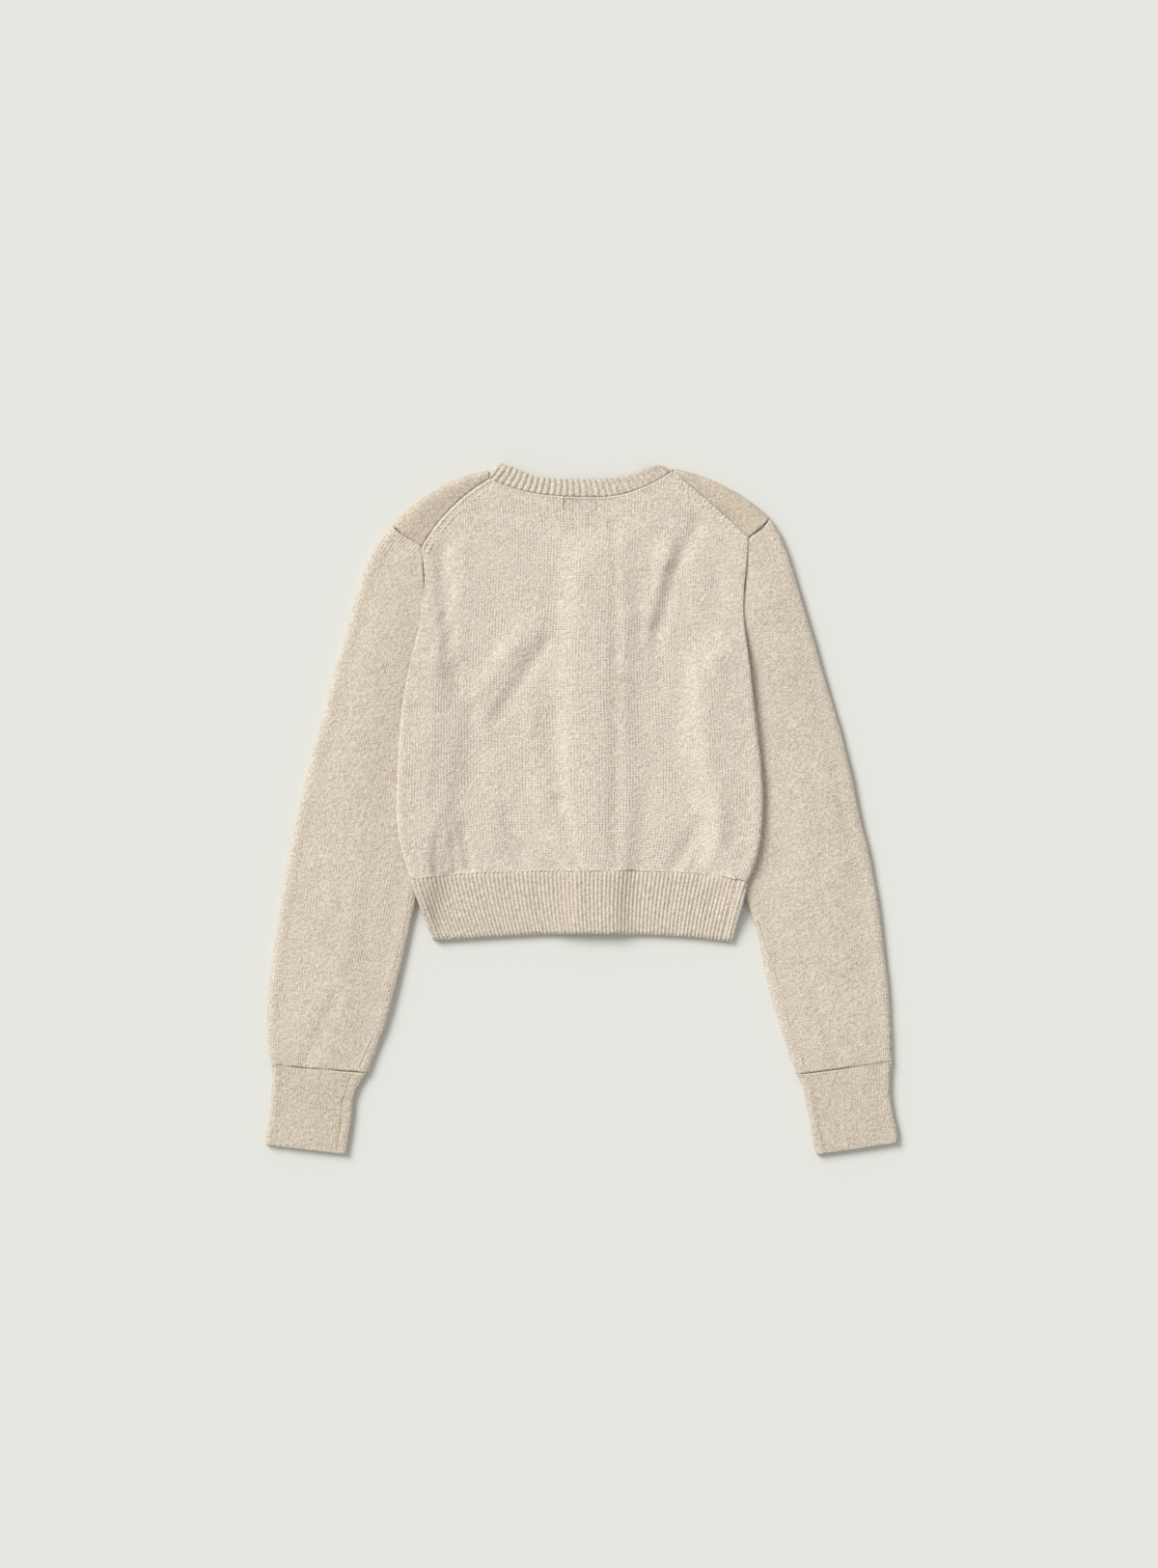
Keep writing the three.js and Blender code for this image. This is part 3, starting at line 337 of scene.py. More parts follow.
def back_rows():
    top_points = ([bowed(CORNER_LEFT, NECK_LEFT, BOW_LEFT, s) for s in evenly(6)[:-1]]
                  + [s[1] for s in NECK_BACK]
                  + [bowed(NECK_RIGHT, CORNER_RIGHT, BOW_RIGHT, s) for s in evenly(6)[1:]])
    top_line = line(top_points, 0, 1)
    top_left = SideRoll(*CORNER_LEFT, 1, 0, KNIT).start
    top_right = SideRoll(*CORNER_RIGHT, -1, 0, KNIT).start
    columns = [top_left] + [p[0] for p in top_points if top_left + 4 < p[0] < top_right - 4] + [top_right]
    rows = []
    for v in BACK_ROWS:
        y_left, y_right = lerp(HEM_SEAM[0][1], CORNER_LEFT[1], v), lerp(HEM_SEAM[-1][1], CORNER_RIGHT[1], v)
        left = SideRoll(side_left(y_left), y_left, 1, side_turn(y_left), KNIT)
        right = SideRoll(side_right(y_right), y_right, -1, side_turn(y_right), KNIT)
        a, b = left.start, right.start

        def rise(x, v=v, a=a, b=b):
            top_x = lerp(top_left, top_right, (x - a) / (b - a))
            return lerp(hem_seam(x) + SEAM / 2, top_line(top_x) - SEAM / 2, v)
        row = left.points(-1, back_middle, rise)
        for top in columns:
            x = lerp(a, b, (top - top_left) / (top_right - top_left))
            row.append(Vector((x, rise(x), back_middle(x, rise(x)))))
        rows.append(row + right.points(-1, back_middle, rise)[::-1])
    return rows


def front_rows(table, side):
    armhole = ARMHOLE_LEFT if side < 0 else ARMHOLE_RIGHT
    side_edge = side_left if side < 0 else side_right
    armhole_x = line(armhole, 1, 0)
    under_x, under_y = armhole[3]

    def edge(y):
        if y < under_y:
            return lerp(side_edge(y), under_x - side * 2, smooth(90, under_y, y))
        return armhole_x(y) - side * (SEAM + 0.3)
    rows = []
    for r, (inner, outer, bow) in enumerate(table):
        end = SideRoll(edge(outer), outer, -side, side_turn(outer), KNIT)

        def level(x, r=r, inner=inner, outer=outer, end=end):
            if r == 0:
                return hem_seam(x) + SEAM / 2
            return lerp(inner[1], outer, (x - inner[0]) / (end.start - inner[0]))
        row = []
        for s in FRONT_SHARES:
            x, y = bowed((inner[0], level(inner[0])), (end.start, level(end.start)), bow, s)
            row.append(Vector((x, level(x) if r == 0 else y, front_middle(x, y))))
        rows.append(row + end.points(1, front_middle, level)[::-1])
    fold, seam = SHOULDER[side]
    shares = evenly(len(rows[0]) - 1)
    outward = Vector((-(fold[1][1] - fold[0][1]), fold[1][0] - fold[0][0], 0)).normalized()
    outward *= 1 if outward.y > 0 else -1
    for turn in FOLD_TURNS:
        angle = math.radians(turn)
        row = []
        for s in shares:
            x, y = bowed(*fold, lerp(0.003, 0.998, s))
            low = front_middle(x, y)
            radius = (back_middle(x, y) - low) / 2
            inset = KNIT / 2 + radius * (1 - math.sin(angle))
            row.append(Vector((x, y, low + radius * (1 - math.cos(angle)))) - outward * inset)
        rows.append(row)
    ends = [bowed(*seam, lerp(0.003, 0.998, s)) for s in shares]
    rows.append([Vector((x, y + SEAM / 2, back_middle(x, y))) for x, y in ends])
    return rows


def tube_loop(station, flat, wall, crown_height, bend=lambda share: Vector()):
    """One ring of a flattened tube: lower layer, fold, crowned upper layer, fold."""
    outer, inner, crown = station[:3]
    crown_end = station[3] if len(station) > 3 else 1
    across = Vector((inner[0] - outer[0], inner[1] - outer[1], 0))
    width, radius, low = across.length, (flat - wall) / 2, wall / 2
    margin = (radius + wall / 2) / width

    def place(share, z, outward=0.0):
        s = lerp(margin, 1 - margin, share)
        return Vector((*outer, z)) + across * (s + outward * radius / width) + bend(share)

    def swell(s):
        return crown_height * crown * max(math.sin(math.pi * min(1, s / crown_end)), 0) ** 1.2

    def arc(share, sign, turn):
        angle = math.radians(turn)
        return place(share, low + radius * (1 - math.cos(angle)), sign * math.sin(angle))
    return ([place(s, low) for s in TUBE_LOW] + [arc(1, 1, d) for d in TUBE_ROLL]
            + [place(s, low + 2 * radius + swell(s)) for s in TUBE_TOP[::-1]]
            + [arc(0, -1, d) for d in TUBE_ROLL[::-1]])


def sleeve_rows(stations, path):
    def departure(share):
        """How far the armhole lies from a straight line."""
        i = next(k for k in (1, 2, 3) if ARMHOLE_SHARES[k] >= share - 1e-9)
        t = (share - ARMHOLE_SHARES[i - 1]) / (ARMHOLE_SHARES[i] - ARMHOLE_SHARES[i - 1])
        on = [lerp(path[i - 1][k], path[i][k], t) - lerp(path[0][k], path[3][k], share) for k in (0, 1)]
        return Vector((*on, 0))
    return [tube_loop(s, SLEEVE_FLAT, KNIT, SLEEVE_CROWN, lambda share, s=s: departure(share) * s[4])
            for s in stations]


def cuff_rows(stations):
    return [tube_loop(s, CUFF_FLAT, RIB, CUFF_CROWN) for s in stations]


def hem_at(points, v):
    y = lerp(points[0][1], points[2][1], v)
    return curve(points, 1, 0)(y), y


def hem_level(x, v):
    left, right = hem_at(HEM_LEFT, v)[0], hem_at(HEM_RIGHT, v)[0]
    above = lerp(HEM_LEFT[0][0], HEM_RIGHT[0][0], (x - left) / (right - left))
    return lerp(hem_seam(above) - SEAM / 2, hem_edge(x), v)


def hem_back_rows():
    rows = []
    for v in HEM_ROWS:
        edge, y_edge = hem_at(HEM_LEFT, v)
        left = SideRoll(edge, y_edge, 1, 1, RIB)
        seam = hem_at(HEM_SIDE_SEAM, v)[0] - SEAM / 2
        xs = [lerp(left.start, seam, s) for s in HEM_SHARES]
        rows.append(left.points(-1, hem_height, lambda x, v=v: hem_level(x, v))
                    + [Vector((x, hem_level(x, v), hem_height(x, hem_level(x, v)))) for x in xs])
    return rows


def hem_front_rows(side):
    inside = BAND_LEFT - 2 * SEAM if side < 0 else BAND_RIGHT + 2 * SEAM

    def low(x, y):
        return front_middle(x, y, RIB)
    rows = []
    for v in HEM_ROWS:
        edge, y_edge = hem_at(HEM_LEFT if side < 0 else HEM_RIGHT, v)
        end = SideRoll(edge, y_edge, -side, 1, RIB)
        row = [Vector((x, hem_level(x, v), low(x, hem_level(x, v))))
               for x in (lerp(inside, end.start, s) for s in HEM_FRONT_SHARES)]
        if side < 0:
            rows.append(row + end.points(1, low, lambda x, v=v: hem_level(x, v))[::-1])
            continue
        y = hem_level(end.start, v)
        radius = (hem_height(end.start, y) - low(end.start, y)) / 2
        for angle in map(math.radians, FOLD_TURNS[1:]):
            x = end.start + radius * math.sin(angle)
            row.append(Vector((x, hem_level(x, v), low(end.start, y) + radius * (1 - math.cos(angle)))))
        seam = hem_at(HEM_SIDE_SEAM, v)[0] + SEAM / 2
        rows.append(row + [Vector((seam, hem_level(seam, v), hem_height(seam, hem_level(seam, v))))])
    return rows


def neckband_rows():
    def lower(x, y):
        return front_middle(x, y, RIB)

    def width(station, height, clear, shift=Vector()):
        free, seam = Vector(station[0]), Vector(station[1])
        seam = seam + (free - seam).normalized() * clear
        return [Vector((*p, height(*p))) + shift for p in (free.lerp(seam, s) for s in (0, 0.5, 1))]

    def fold(station, outward):
        made = []
        radius = (hem_height(*station[1]) - lower(*station[1])) / 2
        for angle in map(math.radians, FOLD_TURNS):
            up = (1 - math.cos(angle)) / 2
            made.append(width(station, lambda x, y, up=up: lerp(lower(x, y), hem_height(x, y), up),
                              SEAM, outward * (radius * math.sin(angle))))
        return made
    return ([width(s, lower, NECK_CLEAR) for s in NECK_FRONT_LEFT[:0:-1]]
            + fold(NECK_FRONT_LEFT[0], Vector((-0.55, 0.835, 0)))
            + [width(s, hem_height, SEAM) for s in NECK_BACK]
            + fold(NECK_FRONT_RIGHT[0], Vector((0.32, 0.947, 0)))[::-1]
            + [width(s, lower, NECK_CLEAR) for s in NECK_FRONT_RIGHT[1:]])


def band_rows(under):
    return [[Vector((x, y, under + KNIT / 2)) for x in (BAND_LEFT, BAND_RIGHT)]
            for y in (BAND_BOTTOM, BAND_TOP)]


def label_rows():
    return [[Vector((x, y, back_middle(x, y) - KNIT / 2 - SEAM - LABEL_WALL / 2))
             for x in evenly(4, LABEL_LEFT, LABEL_RIGHT)] for y in LABEL_YS]


# ---------- cloth ----------
def lengths(points):
    """The running length along some points."""
    run = [0.0]
    for a, b in zip(points, points[1:]):
        run.append(run[-1] + (b - a).length)
    return run


def resample(points, run, at, loop=False):
    """The point at a length along a row, on a gentle curve through its points."""
    last = len(points) - 1
    i = next((k for k in range(1, last + 1) if run[k] >= at - 1e-9), last) - 1
    t = min(max((at - run[i]) / max(run[i + 1] - run[i], 1e-9), 0), 1)
    before = points[i - 1] if i else (points[last - 1] if loop else points[0])
    after = points[i + 2] if i + 2 <= last else (points[1] if loop else points[last])
    a, b, w = points[i], points[i + 1], run[i + 1] - run[i]
    wa = run[i] - run[i - 1] if i else w
    wb = run[i + 2] - run[i + 1] if i + 2 <= last else w
    ta = ((b - a) / w * wa + (a - before) / max(wa, 1e-9) * w) / (wa + w) * w if before is not a else b - a
    tb = ((b - a) / w * wb + (after - b) / max(wb, 1e-9) * w) / (wb + w) * w if after is not b else b - a
    s2, s3 = t * t, t * t * t
    return a * (2 * s3 - 3 * s2 + 1) + ta * (s3 - 2 * s2 + t) + b * (3 * s2 - 2 * s3) + tb * (s3 - s2)


def laid(rows, across, loop):
    """Columns of points down through the rows, with the piece's width and length."""
    runs = [lengths(row) for row in rows]
    columns = []
    for i in range(across + 1):
        column = [resample(row, run, run[-1] * i / across, loop) for row, run in zip(rows, runs)]
        columns.append((column, lengths(column)))
    middle = [resample(row, run, run[-1] / 2, loop) for row, run in zip(rows, runs)]
    return columns, max(run[-1] for run in runs), lengths(middle)[-1]


def knitted(rows, across, along, relief, loop, wall):
    """A grid laid through the rows, with its own lengths as UVs in metres, and shaped by its relief."""
    columns, wide, long = laid([row + [row[0]] if loop else row for row in rows], across, loop)
    bm = bmesh.new()
    bmesh.ops.create_grid(bm, x_segments=across, y_segments=along, size=0.5)
    uv = bm.loops.layers.uv.new("UVMap")
    place = {}
    for v in bm.verts:
        i = round((v.co.x + 0.5) * across)
        t = v.co.y + 0.5
        column, run = columns[i]
        place[v] = (i / across * wide, t * long, resample(column, run, run[-1] * t))
    for f in bm.faces:
        for corner in f.loops:
            a, b, _ = place[corner.vert]
            corner[uv].uv = (a * MM, b * MM)
    for v, (_, _, p) in place.items():
        v.co = p
    bm.normal_update()
    if relief:
        normals = {v: v.normal.copy() for v in bm.verts}
        for v, (a, b, p) in place.items():
            v.co = p + normals[v] * relief(a, b, p, normals[v])
    for v in bm.verts:
        v.co.z = max(v.co.z, wall / 2)  # nothing sinks below the surface that it lies on
    if loop:
        bmesh.ops.remove_doubles(bm, verts=bm.verts, dist=0.01)
    return bm


def finished(name, bm, mat, slot, nodes=()):
    """A smooth object in metres, with its place in its mesh."""
    for v in bm.verts:
        v.co *= MM
    for f in bm.faces:
        f.smooth = True
    mesh = bpy.data.meshes.new(name)
    bm.to_mesh(mesh)
    bm.free()
    mesh.materials.append(mat)
    obj = bpy.data.objects.new(name, mesh)
    bpy.context.collection.objects.link(obj)
    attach(obj, "root")
    if nodes:
        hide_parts(*nodes)
    return obj


def cloth(name, rows, across, along, wall, mat, relief=None, loop=False, slot="wool"):
    """A piece of cloth: a knitted grid, thickened to its wall."""
    obj = finished(name, knitted(rows, across, along, relief, loop, wall), mat, slot, [name])
    thick = obj.modifiers.new("wall", "SOLIDIFY")
    thick.thickness, thick.offset = wall * MM, 0


def rib(length, pitch, out):
    """The height of rounded ribs, broader than the furrows between them."""
    wave = math.cos(2 * math.pi * length / pitch)
    return out * (wave * (1.3 - 0.3 * wave))


def hem_relief(a, b, p, n):
    return rib(a, HEM_PITCH, HEM_RIB)


def band_relief(a, b, p, n):
    return rib(a, HEM_PITCH, BAND_RIB)


def neck_relief(a, b, p, n):
    return rib(b, NECK_PITCH, NECK_RIB)


def rumple(p, size, amount):
    return noise.noise(Vector((p.x, p.y, 0)) / size) * amount


def body_relief(a, b, p, n):
    """Fine creases on the layer that shows, and a soft unevenness."""
    crease = ridges(CREASES, p.x, p.y) if p.z > FACING_UP else 0
    soft = rumple(p, 34, 0.45) + rumple(p, 13, 0.2)
    return math.copysign(1, n.z) * (crease + soft * smooth(-60, -50, p.y))


def sleeve_relief(a, b, p, n):
    if p.z < SLEEVE_UP:
        return 0
    soft = rumple(p, 42, 0.7) + rumple(p, 15, 0.25)
    return math.copysign(1, n.z) * (soft + ridges(SLEEVE_CREASES, p.x, p.y))


def seam_row(name, path, height, width, rise, pitch, mat):
    """A raised row of linking loops along a path: half a cord, sunk into the knit, with a bump per loop."""
    points = [Vector((x, y, 0)) for x, y in path]
    run = lengths(points)
    bm = bmesh.new()
    bmesh.ops.create_grid(bm, x_segments=max(int(run[-1] / pitch * 6), 8), y_segments=6, size=0.5)
    for v in bm.verts:
        at, side = (v.co.x + 0.5) * run[-1], v.co.y * 2
        p = resample(points, run, at)
        q = resample(points, run, min(at + 0.5, run[-1])) - resample(points, run, max(at - 0.5, 0))
        across = Vector((-q.y, q.x, 0)).normalized()
        loop = 0.72 + 0.28 * math.cos(math.tau * at / pitch + side * 0.9)
        p = p + across * (side * width / 2 * (0.85 + 0.15 * loop))
        bulge = (rise + LOOP_SUNK) * math.sqrt(max(1 - side * side, 0)) * loop
        v.co = Vector((p.x, p.y, height(p.x, p.y) - LOOP_SUNK + bulge))
    finished(name, bm, mat, "wool")


# ---------- shaders ----------
class Sock:
    """A node's output that adds, subtracts, multiplies and divides like a number."""

    def __init__(self, tree, out):
        self.tree, self.out = tree, out

    def node(self, kind, settings=None, out=0, **values):
        """A new node: its settings, then its inputs, by name or as i0, i1 and so on."""
        n = self.tree.nodes.new(kind)
        for key, value in (settings or {}).items():
            setattr(n, key, value)
        for key, value in values.items():
            name = int(key[1:]) if key[0] == "i" and key[1:].isdigit() else key.replace("_", " ")
            if isinstance(value, Sock):
                self.tree.links.new(value.out, n.inputs[name])
            else:
                n.inputs[name].default_value = value
        return Sock(self.tree, n.outputs[out])

    def math(self, operation, *others):
        inputs = {f"i{k}": value for k, value in enumerate((self, *others))}
        return self.node("ShaderNodeMath", {"operation": operation}, **inputs)

    def __add__(self, o):
        return self.math("ADD", o)

    def __sub__(self, o):
        return self.math("SUBTRACT", o)

    def __mul__(self, o):
        return self.math("MULTIPLY", o)

    def __truediv__(self, o):
        return self.math("DIVIDE", o)

    def __rsub__(self, o):
        return self.node("ShaderNodeMath", {"operation": "SUBTRACT"}, i0=o, i1=self)

    def __rtruediv__(self, o):
        return self.node("ShaderNodeMath", {"operation": "DIVIDE"}, i0=o, i1=self)

    __radd__, __rmul__ = __add__, __mul__

    def between(self, low, high, a=0.0, b=1.0):
        """Goes smoothly from a to b as this goes from low to high."""
        n = self.node("ShaderNodeMapRange", {"interpolation_type": "SMOOTHSTEP"}, Value=self)
        for key, value in (("From Min", low), ("From Max", high), ("To Min", a), ("To Max", b)):
            n.out.node.inputs[key].default_value = value
        return n


def mix(start, end, share):
    """A colour between two colours."""
    made = share.node("ShaderNodeMix", {"data_type": "RGBA"}, out=2)
    sockets = {0: share, 6: start, 7: end}
    for i, value in sockets.items():
        if isinstance(value, Sock):
            made.tree.links.new(value.out, made.out.node.inputs[i])
        else:
            made.out.node.inputs[i].default_value = value
    return made


def rgb(r, g, b):
    """A colour given as it looks on a screen, 0 to 255."""
    return tuple(((c / 255 + 0.055) / 1.055) ** 2.4 if c > 10 else c / 3294 for c in (r, g, b)) + (1.0,)


def material(name, roughness, **constants):
    """A new material, with its shader and the sockets of its Object and UV coordinates."""
    m = bpy.data.materials.new(name)
    m.use_nodes = True
    shader = m.node_tree.nodes["Principled BSDF"]
    shader.inputs["Roughness"].default_value = roughness
    for key, value in constants.items():
        shader.inputs[key.replace("_", " ")].default_value = value
    coords = m.node_tree.nodes.new("ShaderNodeTexCoord")
    return m, shader, Sock(m.node_tree, coords.outputs["Object"]), Sock(m.node_tree, coords.outputs["UV"])


def wool(name, base, light, dark, knit_depth=1.0, marks=None):
    """Brushed wool: columns of knitted loops under a soft, mottled fuzz, with the loops' shade painted into
    the colour.
    """
    m, shader, where, flat = material(
        name, 0.95, Sheen_Weight=0.3, Sheen_Roughness=0.45, Specular_IOR_Level=0.15)
    tree = m.node_tree
    u = where.node("ShaderNodeSeparateXYZ", Vector=flat)
    v = Sock(tree, u.out.node.outputs[1])

    def cloud(scale, detail=2.0, rough=0.5):
        return where.node("ShaderNodeTexNoise", Vector=where, Scale=scale, Detail=detail, Roughness=rough)
    u = u + (cloud(70.0) - 0.5) * 0.0016
    v = v + (cloud(61.0) - 0.5) * 0.0018
    lean = ((u / (WALE * MM)).math("FRACT") - 0.5).math("ABSOLUTE")
    loops = ((v / (COURSE * MM) + lean * 0.9) * math.tau).math("SINE")
    legs = (lean * math.tau).math("COSINE") * -1.0
    fuzz, fleck, broad = cloud(900.0, 2.0, 0.7), cloud(420.0, 2.0, 0.6), cloud(20.0, 3.0)
    worn = cloud(75.0, 2.0).between(0.4, 0.62, 0.15, 1.0)  # the brushing hides the loops here and there
    height = (legs * 0.5 + loops * 0.4) * worn * knit_depth + fuzz * 1.6 + fleck * 2.0 + cloud(240.0) * 2.4
    colour = mix(mix(dark, base, fleck.between(0.34, 0.5)), light, fleck.between(0.5, 0.68))
    # painted shade: the colour is darker where the knitted loops are low, over a random broad tone
    loop_shade_and_tone = (legs * 0.5 + loops * 0.35) * worn * (0.05 * knit_depth) + (broad - 0.5) * 0.1 + 1.0
    if marks:
        loop_shade_and_tone = loop_shade_and_tone * marks(where)
    tint = where.node("ShaderNodeVectorMath", {"operation": "SCALE"}, Vector=colour)
    tree.links.new(loop_shade_and_tone.out, tint.out.node.inputs["Scale"])
    tree.links.new(tint.out, shader.inputs["Base Color"])
    bump = where.node("ShaderNodeBump", Strength=0.5, Distance=0.0011, Height=height)
    tree.links.new(bump.out, shader.inputs["Normal"])
    return m


def horn():
    """Pale, clouded horn, a little polished."""
    m, shader, where, _ = material("horn", 0.32, Coat_Weight=0.25, Coat_Roughness=0.2)
    cloud = where.node("ShaderNodeTexNoise", Vector=where, Scale=140.0, Detail=3.0, Distortion=1.2)
    colour = mix(rgb(205, 189, 160), rgb(232, 222, 200), cloud.between(0.35, 0.65))
    m.node_tree.links.new(colour.out, shader.inputs["Base Color"])
    return m


def satin():
    """Woven label ribbon."""
    m, shader, where, flat = material("satin", 0.55)
    threads = where.node("ShaderNodeTexWave", {"bands_direction": "X"}, Vector=flat, Scale=700.0)
    colour = mix(rgb(138, 136, 130), rgb(160, 158, 150), threads)
    m.node_tree.links.new(colour.out, shader.inputs["Base Color"])
    return m


def label_through(where):
    """The label shows faintly through the knit under the neckband."""
    x = where.node("ShaderNodeSeparateXYZ", Vector=where)
    y = Sock(x.tree, x.out.node.outputs[1])
    low, high = LABEL_YS[0], LABEL_YS[-1]

    def edge(axis, start, end):
        return axis.between(start * MM, end * MM)
    inside = edge(x, LABEL_LEFT - 0.5, LABEL_LEFT + 1.5) * (1 - edge(x, LABEL_RIGHT - 1, LABEL_RIGHT + 1))
    inside = inside * edge(y, low - 2.5, low + 1) * (1 - edge(y, high + 0.9, high + 2.4))
    stripes = (x * (math.tau / 0.0031)).math("SINE")
    return 1 - inside * (stripes * 0.05 + 0.075)


# ---------- buttons and studio ----------
def button(name, y, mat):
    """A plain button, face down: a disc with a raised rim and a dished middle."""
    r, thick = BUTTON_RADIUS, BUTTON_THICK
    profile = [
        (0, thick), (r - 0.9, thick), (r - 0.2, thick - 0.35), (r, thick - 0.8), (r, 0.55), (r - 0.2, 0.15),
        (r - 0.6, 0), (r - 1.3, 0.05), (r - 1.8, 0.5), (0, 0.55),
    ]
    bm = bmesh.new()
    verts = [bm.verts.new((out, 0, z)) for out, z in profile]
    edges = [bm.edges.new(pair) for pair in zip(verts, verts[1:])]
    bmesh.ops.spin(bm, geom=verts + edges, cent=(0, 0, 0), axis=(0, 0, 1), angle=math.tau, steps=40)
    bmesh.ops.remove_doubles(bm, verts=bm.verts, dist=0.001)
    bmesh.ops.recalc_face_normals(bm, faces=bm.faces)
    bmesh.ops.translate(bm, verts=bm.verts, vec=((BAND_LEFT + BAND_RIGHT) / 2, y, 0))
    finished(name, bm, mat, "horn", [name])


def paper():
    """The pale surface that the garment lies on."""
    bm = bmesh.new()
    bmesh.ops.create_grid(bm, x_segments=1, y_segments=1, size=6)
    bmesh.ops.translate(bm, verts=bm.verts, vec=(0, 0, -FLOOR_DROP * MM))
    mesh = bpy.data.meshes.new("floor")
    bm.to_mesh(mesh)
    bm.free()
    floor = bpy.data.objects.new("floor", mesh)
    bpy.context.collection.objects.link(floor)
    m, shader, _, _ = material("paper", 0.95, Specular_IOR_Level=0.1)
    shader.inputs["Base Color"].default_value = rgb(226, 228, 224)
    mesh.materials.append(m)


def daylight():
    """A soft sky, and a wide window up on the left."""
    world = bpy.data.worlds.new("studio")
    world.use_nodes = True
    sky = world.node_tree.nodes["Background"]
    sky.inputs["Color"].default_value = (1.0, 0.985, 0.965, 1)
    sky.inputs["Strength"].default_value = 0.5
    bpy.context.scene.world = world
    data = bpy.data.lights.new("window", "SUN")
    data.energy, data.angle, data.color = 2.75, math.radians(34), (1.0, 0.985, 0.955)
    lamp = bpy.data.objects.new("window", data)
    lamp.rotation_mode = "QUATERNION"
    lamp.rotation_quaternion = Vector((0.62, -0.5, -0.62)).to_track_quat("-Z", "Y")
    bpy.context.collection.objects.link(lamp)


def camera():
    """A long lens straight above, far enough off to take in the whole field."""
    field, aim, raised = 1.5275, (-0.0029, 0.0241), 0.006
    data = bpy.data.cameras.new("camera")
    data.sensor_width, data.lens = 36, 100
    eye = bpy.data.objects.new("camera", data)
    eye.location = (*aim, field / data.sensor_width * data.lens + raised)
    data.clip_end = 50
    bpy.context.collection.objects.link(eye)
    bpy.context.scene.camera = eye
    bpy.context.scene.view_settings.view_transform = "Standard"


# ---------- the rows of loops ----------
def inset(path, dx, dy):
    return [(x + dx, y + dy) for x, y in path]


def back_face(x, y):
    return back_middle(x, y) + KNIT / 2 + ridges(CREASES, x, y) * 0.9


def flat_face(level):
    return lambda x, y: level


hem_line = [(x, hem_seam(x)) for x in evenly(40, -164, 150)]
left_line = [bowed(CORNER_LEFT, NECK_LEFT, BOW_LEFT, s) for s in evenly(12)]
right_line = [bowed(NECK_RIGHT, CORNER_RIGHT, BOW_RIGHT, s) for s in evenly(12)]
neck_line = [seam for _, seam in NECK_BACK]
cuff_face = flat_face(CUFF_FLAT + CUFF_CROWN - 0.25)
cuff_top, sleeve_face = flat_face(SLEEVE_FLAT + 0.1), flat_face(SLEEVE_FLAT + 0.9)

# name, path, face it lies on, width, rise, pitch of its loops, wool
LOOPS = [
    ("hem_loops", inset(hem_line, 0, 0.4), back_face, 3.2, 1.0, HEM_PITCH, "body"),
    ("shoulder_ridge_left", inset(left_line, 1.6, -1.8), back_face, 3.4, 0.9, 4.2, "body"),
    ("shoulder_marks_left", inset(left_line[:-1], 5.2, -6.4), back_face, 3.2, 0.75, 5, "body"),
    ("shoulder_ridge_right", inset(right_line, -1.2, -1.6), back_face, 3.2, 1.0, 4.2, "body"),
    ("shoulder_marks_right", inset(right_line[1:], -4.2, -6), back_face, 3.0, 0.8, 5, "body"),
    ("neck_loops", inset(neck_line, 0, -1.9), back_face, 2.4, 0.7, 3.2, "body"),
    ("tack_left", [(-17.4, 305), (-17.9, 298), (-17.2, 291.8)], back_face, 1.9, 0.35, 3.2, "tack"),
    ("tack_right", [(13.6, 304.6), (13.9, 298), (13.5, 291)], back_face, 0.9, 0.3, 3.2, "tack"),
    ("cuff_loops_left", [(-301.5, -250.6), (-274, -251), (-252, -253.6), (-236, -257), (-210.5, -258.2)],
     cuff_top, 2.2, 0.6, 3.4, "sleeve"),
    # the cuff seams wear the dark yarn of painted groove shade
    ("cuff_seam_left", [(-226, -258.6), (-231.5, -275.3), (-234.7, -288.5), (-236.3, -310), (-240, -330.5)],
     cuff_face, 1.3, 0.35, 3.2, "painted_groove_shade"),
    ("arm_seam_left", [(-168.5, -72), (-170.5, -98), (-180, -137), (-195.6, -199), (-217.7, -250.5)],
     sleeve_face, 2.0, 0.5, 3.2, "sleeve"),
    ("cuff_loops_right", [(210.5, -259.6), (237, -257.6), (254, -254.8), (270, -251.6), (301.5, -247.6)],
     cuff_top, 2.2, 0.6, 3.4, "sleeve"),
    ("cuff_seam_right", [(218, -259), (224.9, -283.7), (230.4, -308.2), (235, -336)],
     cuff_face, 1.3, 0.35, 3.2, "painted_groove_shade"),
    ("arm_seam_right", [(171, -110), (190, -168), (204.9, -221.7), (216, -250.5)],
     sleeve_face, 2.0, 0.5, 3.2, "sleeve"),
]

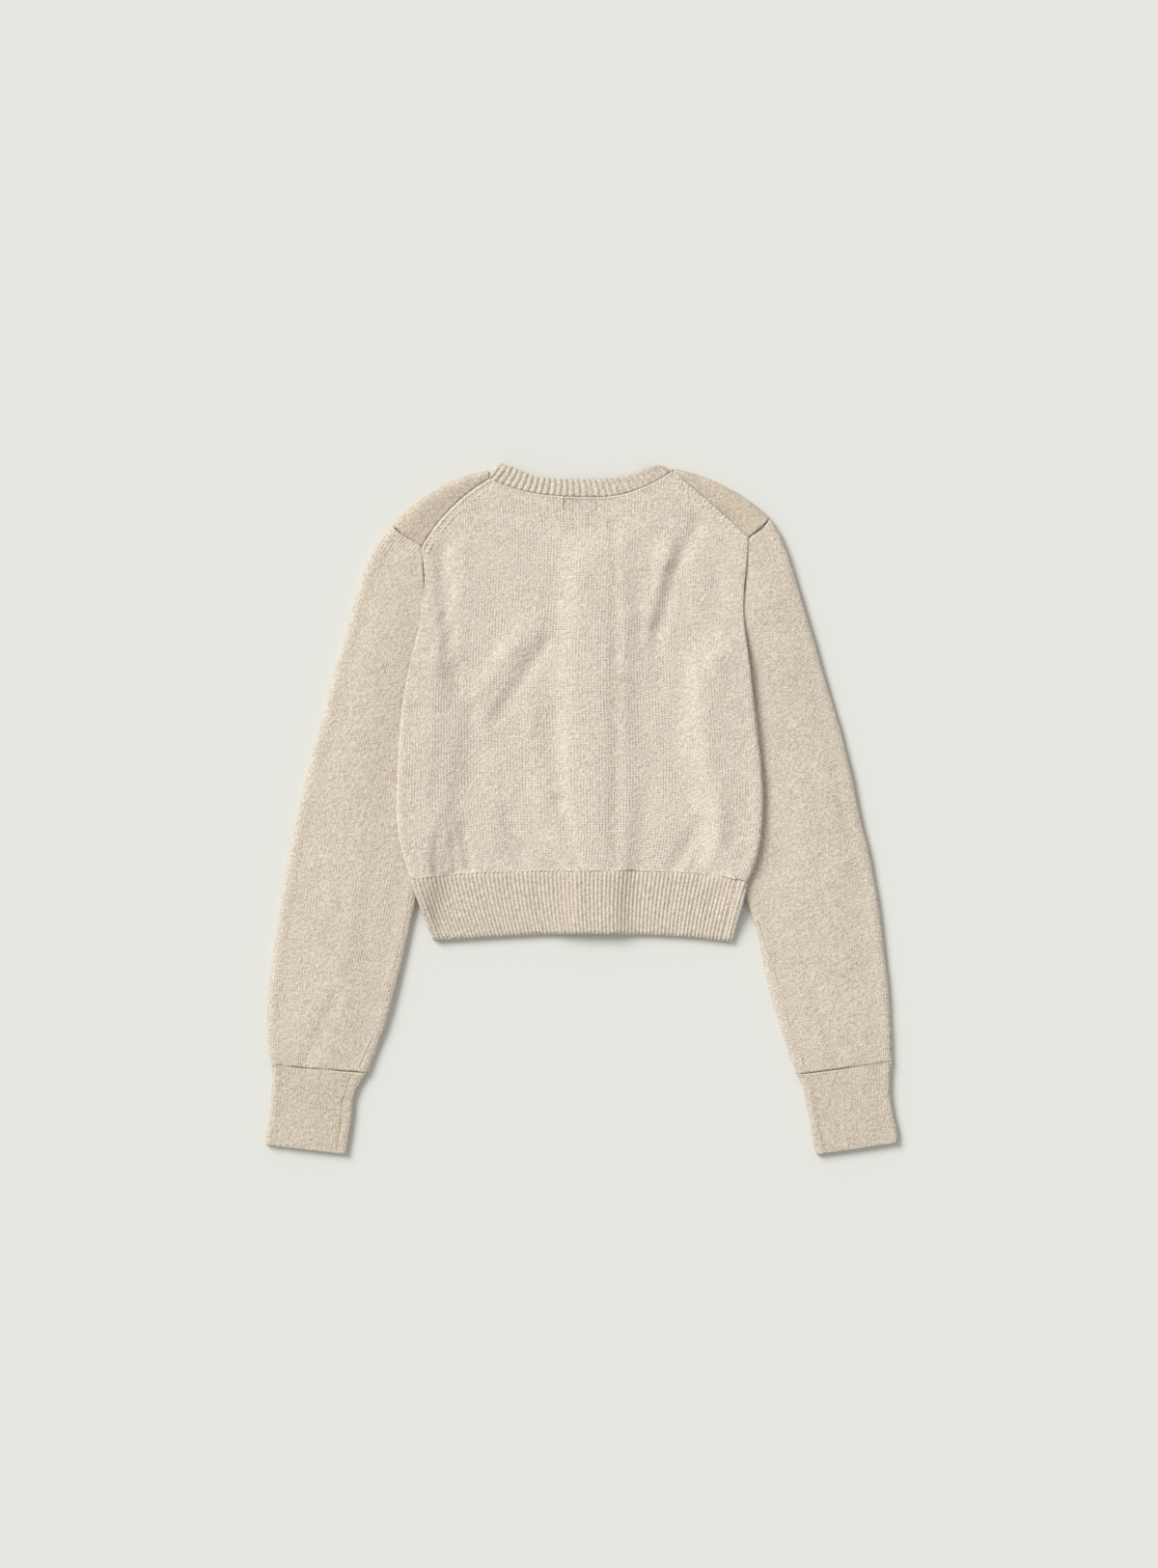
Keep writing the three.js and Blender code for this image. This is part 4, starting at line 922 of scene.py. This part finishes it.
# ---------- the garment ----------
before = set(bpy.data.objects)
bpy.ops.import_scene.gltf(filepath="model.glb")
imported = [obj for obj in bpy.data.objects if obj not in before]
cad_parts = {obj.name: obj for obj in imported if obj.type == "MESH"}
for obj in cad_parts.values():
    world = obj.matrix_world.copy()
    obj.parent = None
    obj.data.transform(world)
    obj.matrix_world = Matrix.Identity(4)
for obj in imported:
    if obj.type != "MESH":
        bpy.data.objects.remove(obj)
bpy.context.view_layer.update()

WOOL = {
    "body": wool("wool_body", rgb(221, 212, 197), rgb(235, 228, 215), rgb(205, 194, 176),
                 marks=label_through),
    "sleeve": wool("wool_sleeve", rgb(218, 207, 191), rgb(231, 222, 208), rgb(201, 188, 170), knit_depth=0.8),
    "trim": wool("wool_rib", rgb(217, 206, 190), rgb(231, 222, 207), rgb(200, 187, 169), knit_depth=0.5),
    # painted shade: the cuffs get a darker copy of the sleeve's yarn
    "cuff": wool("wool_cuff_painted_shade", rgb(212, 201, 185), rgb(225, 215, 201), rgb(195, 182, 164), knit_depth=0.7),
    # painted shade: the fronts, beneath the back, get a darker, browner copy of the body's yarn
    "front": wool("wool_front_painted_shade", rgb(211, 198, 179), rgb(224, 213, 196), rgb(194, 179, 158), knit_depth=0.8),
    "tack": wool("tack_thread", rgb(148, 124, 92), rgb(170, 146, 112), rgb(120, 98, 70)),
    # painted shade: a darker yarn for the cuff seams, standing in for the shade in their groove
    "painted_groove_shade": wool("painted_groove_shade", rgb(190, 174, 151), rgb(206, 192, 170), rgb(172, 155, 130)),
}
HORN, SATIN = horn(), satin()
RIBBED = {"mat": WOOL["trim"], "slot": "rib_wool"}

cloth("back", back_rows(), 180, 190, KNIT, WOOL["body"], body_relief)
for name, table, side in (("front_left", FRONT_LEFT, -1), ("front_right", FRONT_RIGHT, 1)):
    cloth(name, front_rows(table, side), 70, 170, KNIT, WOOL["front"])
for name, table, path in (
        ("sleeve_left", SLEEVE_LEFT, ARMHOLE_LEFT), ("sleeve_right", SLEEVE_RIGHT, ARMHOLE_RIGHT)):
    cloth(name, sleeve_rows(table, path), 130, 190, KNIT, WOOL["sleeve"], sleeve_relief, loop=True)
for name, table in (("cuff_left", CUFF_LEFT), ("cuff_right", CUFF_RIGHT)):
    cloth(name, cuff_rows(table), 110, 50, RIB, WOOL["cuff"], loop=True, slot="rib_wool")
cloth("hem_back", hem_back_rows(), 640, 14, RIB_CORE, relief=hem_relief, **RIBBED)
for name, side in (("hem_front_left", -1), ("hem_front_right", 1)):
    cloth(name, hem_front_rows(side), 320, 14, RIB_CORE, relief=hem_relief, **RIBBED)
cloth("neckband", neckband_rows(), 8, 800, RIB_CORE, relief=neck_relief, **RIBBED)
for name, under in (("band_under", UNDER_BAND), ("band_over", OVER_BAND)):
    cloth(name, band_rows(under), 70, 30, BAND_CORE, relief=band_relief, **RIBBED)
cloth("label", label_rows(), 16, 8, LABEL_WALL, SATIN, slot="satin")
for i in range(BUTTONS):
    button(f"button_{i + 1}", BUTTON_FIRST + i * BUTTON_STEP, HORN)
for name, path, face, width, rise, pitch, yarn in LOOPS:
    seam_row(name, path, face, width, rise, pitch, WOOL[yarn])

paper()
daylight()
camera()
